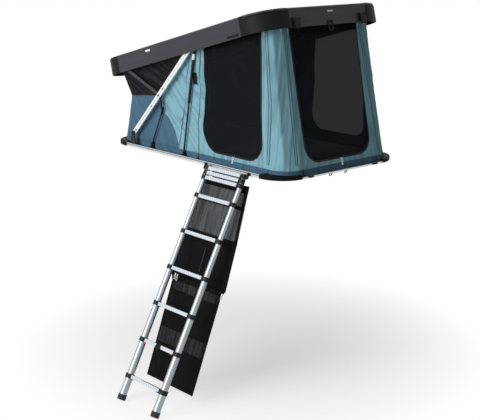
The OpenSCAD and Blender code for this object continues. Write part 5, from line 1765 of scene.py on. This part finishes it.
class ROOF_TENT_OT_organiser(bpy.types.Operator):
    """Model the hanging organiser: back, netting, pockets, bindings, straps and clips"""

    bl_idname = "roof_tent.organiser"
    bl_label = "Organiser"

    def execute(self, context):
        self.back()
        self.netting()
        self.pockets()
        self.edges()
        return {"FINISHED"}

    def layer(self, bm, top, foot, inset, depth, columns, rows):
        """Grid between two heights, set in from the edges, with a given depth and a UV map in metres."""
        verts = bmesh.ops.create_grid(bm, x_segments=columns, y_segments=rows, size=1.0)["verts"]
        for vert in verts:
            z = -(top + (foot - top) * (1 - vert.co.y) / 2)
            x = vert.co.x * (organiser_half(-z) - inset)
            vert.co = (x, depth(x, z, vert.co.x, vert.co.y), z)
        faces = list({f for v in verts for f in v.link_faces})
        lay_flat(bm, faces, {v: (v.co.x / 1000, v.co.z / 1000) for v in verts})
        self.face_front(bm, faces)
        return faces

    def face_front(self, bm, faces):
        """Turn faces to the organiser's front."""
        bmesh.ops.recalc_face_normals(bm, faces=faces)
        if sum(f.normal.y for f in faces) > 0:
            bmesh.ops.reverse_faces(bm, faces=faces)

    def back(self):
        """Back of the organiser: netting behind the nets and cloth behind the pockets."""
        bm = bmesh.new()

        def depth(x, z, *_):
            """Slight wave of the hanging cloth."""
            return 1.0 + 1.2 * noise.noise(Vector((x / 120, z / 260, 2.0)))

        # Rows with their finish: netting, cloth or the darker low netting
        for top, foot, cloth in ((0, 58, 1), (58, 418, 0), (418, 832, 1), (832, 902, 2), (902, 1200, 1),
                                 (1200, 1318, 2), (1318, 1595, 1)):
            for face in self.layer(bm, top, foot, 2, depth, 44, max(4, round((foot - top) / 14))):
                face.material_index = cloth
        bmesh.ops.remove_doubles(bm, verts=bm.verts, dist=0.05)
        area = area_of(bm)
        move(bm, on_organiser())
        piece = make_piece("organiser_back", bm, "ladder_1", ["net", "oxford", "low_net"],
                           ["organiser_sheet"], CLOTH_SHARP)

    def netting(self):
        """Loose nets gathered into vertical folds."""
        bm = bmesh.new()
        for top, foot in NET_ROWS:
            deep = 12.0 if top < 600 else 7.2

            def depth(x, z, a, b):
                """Upright folds, flattened towards the edges."""
                waver = 0.5 * noise.noise(Vector((x / 90, z / 130, top)))
                fold = math.sin(math.pi * 5 * (a + 1) / 2 + waver) ** 2
                fine = 2.5 * noise.noise(Vector((x / 16, z / 200, 5.0)))
                ease = min(1.0, (1 - abs(b)) * 6 + 0.35) * min(1.0, (1 - abs(a)) * 25)
                return -3.0 - (deep * fold + 1.5 + fine) * ease
            for face in self.layer(bm, top, foot, 15, depth, 120, max(6, round((foot - top) / 16))):
                face.material_index = 0 if top < 600 else 1
        area = area_of(bm)
        move(bm, on_organiser())
        piece = make_piece("organiser_nets", bm, "ladder_1", ["net", "low_net"], ["organiser_mesh"],
                           CLOTH_SHARP)

    def pockets(self):
        """Cloth pockets that stand out a little and wrinkle."""
        bm = bmesh.new()
        for top, foot in POCKET_ROWS:
            deep = 6.0 if top < 600 else 8.0

            def depth(x, z, a, b):
                """Two full pouches side by side, with wrinkles, flattened towards the edges."""
                fold = math.sin(math.pi * 2 * (a + 1) / 2) ** 2
                broad = noise.noise(Vector((x / 60, z / 90, top)))
                wrinkle = 3.0 * broad + 1.4 * noise.noise(Vector((x / 22, z / 40, 3)))
                ease = min(1.0, (1 - abs(b)) * 8) * min(1.0, (1 - abs(a)) * 20)
                return -4.0 - (deep * fold + 1.0 + wrinkle) * ease
            self.layer(bm, top, foot, 15, depth, 70, round((foot - top) / 9))
        area = area_of(bm)
        move(bm, on_organiser())
        piece = make_piece("organiser_pouches", bm, "ladder_1", ["oxford"],
                           ["organiser_pockets"], CLOTH_SHARP)

    def tape(self, bm, start, end, wide, y):
        """Straight tape between two places of the organiser's face, with a UV map along it."""
        (x0, z0), (x1, z1) = start, end
        length = math.hypot(x1 - x0, z1 - z0)
        along = Vector(((x1 - x0) / length, 0, (z1 - z0) / length))
        across = Vector((-along.z, 0, along.x))
        steps = max(6, round(length / 30))
        verts = bmesh.ops.create_grid(bm, x_segments=steps, y_segments=4, size=1.0)["verts"]
        flat = {}
        for vert in verts:
            run, side = (vert.co.x + 1) / 2 * length, vert.co.y
            flat[vert] = (run / 1000, (side + 1) / 2)
            wave = 1.2 * noise.noise(Vector((run / 120, side, x0 + z0)))
            origin = Vector((x0, y - 1.6 * (1 - side ** 4) + wave, z0))
            vert.co = origin + along * run + across * (side * wide / 2)
        faces = list({f for v in verts for f in v.link_faces})
        lay_flat(bm, faces, flat)
        self.face_front(bm, faces)

    def edges(self):
        """Sewn bindings round and across the organiser, its zip, hanging straps and clips."""
        bm = bmesh.new()
        for (s0, w0), (s1, w1) in zip(ORGANISER_EDGE, ORGANISER_EDGE[1:]):
            for side in (-1, 1):
                wide = 36 if side > 0 and s1 < 800 else 16
                inset = wide / 2 + 1
                self.tape(bm, (side * (w0 - inset), -s0), (side * (w1 - inset), -s1), wide, -5.5)
        for row, wide, lift in ((26, 54, -6.5), (429, 24, -7.0), (811, 42, -7.0), (1584, 20, -6.0),
                                (910, 16, -8.5), (1326, 16, -8.5), (172, 26, -19.0)):
            half = organiser_half(row) - 8
            self.tape(bm, (-half, -row), (half, -row), wide, lift)
        move(bm, on_organiser())
        bindings = make_piece("organiser_bindings", bm, "ladder_1", ["oxford"],
                              sharp=CLOTH_SHARP)
        thicken(bindings, 1.0)
        closure = bmesh.new()
        self.tape(closure, (-8, -525), (-8, -715), 15, -12.5)
        move(closure, on_organiser())
        make_piece("organiser_zip", closure, "ladder_1", ["dark"], sharp=CLOTH_SHARP)
        flap = bmesh.new()
        path = smooth_path([(0, 20.8, 9), (0, 21.5, -10), (0, 36, -34), (0, 51.5, -54), (0, 52.5, -62)],
                           16)
        add_ribbon(flap, path, [(0, 0.8, 0.6)] * len(path), 350, 1.6)
        move(flap, on_ladder())
        make_piece("organiser_flap", flap, "ladder_1", ["oxford"])
        clips = bmesh.new()
        for x, z in ((-258, -812), (-232, -816), (301, -838)):
            ring = [(x + 7 * math.cos(a), -12, z + 19 * math.sin(a)) for a in angles(math.tau, 24)]
            add_tube(clips, ring, 2.6, 8, True)
            add_block(clips, (x - 6, -15, z + 17), (x + 6, -9, z + 30), 1.5)
        move(clips, on_organiser())
        make_piece("organiser_clips", clips, "ladder_1", ["pale"])


class ROOF_TENT_PT_panel(bpy.types.Panel):
    """Sidebar panel with one button for each group of pieces"""

    bl_idname = "ROOF_TENT_PT_panel"
    bl_label = "Roof top tent"
    bl_space_type = "VIEW_3D"
    bl_region_type = "UI"
    bl_category = "Roof tent"

    def draw(self, context):
        for operator in OPERATORS:
            self.layout.operator(operator.bl_idname)


OPERATORS = (ROOF_TENT_OT_stage, ROOF_TENT_OT_base, ROOF_TENT_OT_lid, ROOF_TENT_OT_soft,
             ROOF_TENT_OT_linkage, ROOF_TENT_OT_walls, ROOF_TENT_OT_trim, ROOF_TENT_OT_ladder,
             ROOF_TENT_OT_organiser)
SETTINGS = (RoofTentFabric, RoofTentHard, RoofTentStage, RoofTentSettings)
CLASSES = SETTINGS + OPERATORS + (ROOF_TENT_PT_panel,)


def register():
    """Register the classes and the scene's settings."""
    for item in CLASSES:
        bpy.utils.register_class(item)
    bpy.types.Scene.roof_tent = bpy.props.PointerProperty(type=RoofTentSettings)


def unregister():
    """Remove the scene's settings and the classes."""
    del bpy.types.Scene.roof_tent
    for item in reversed(CLASSES):
        bpy.utils.unregister_class(item)


def main():
    """Build every piece."""
    register()
    bpy.ops.roof_tent.stage()
    bpy.ops.roof_tent.base()
    bpy.ops.roof_tent.lid()
    bpy.ops.roof_tent.soft()
    bpy.ops.roof_tent.linkage()
    bpy.ops.roof_tent.walls()
    bpy.ops.roof_tent.trim()
    bpy.ops.roof_tent.ladder()
    bpy.ops.roof_tent.organiser()


if __name__ == "__main__":
    main()
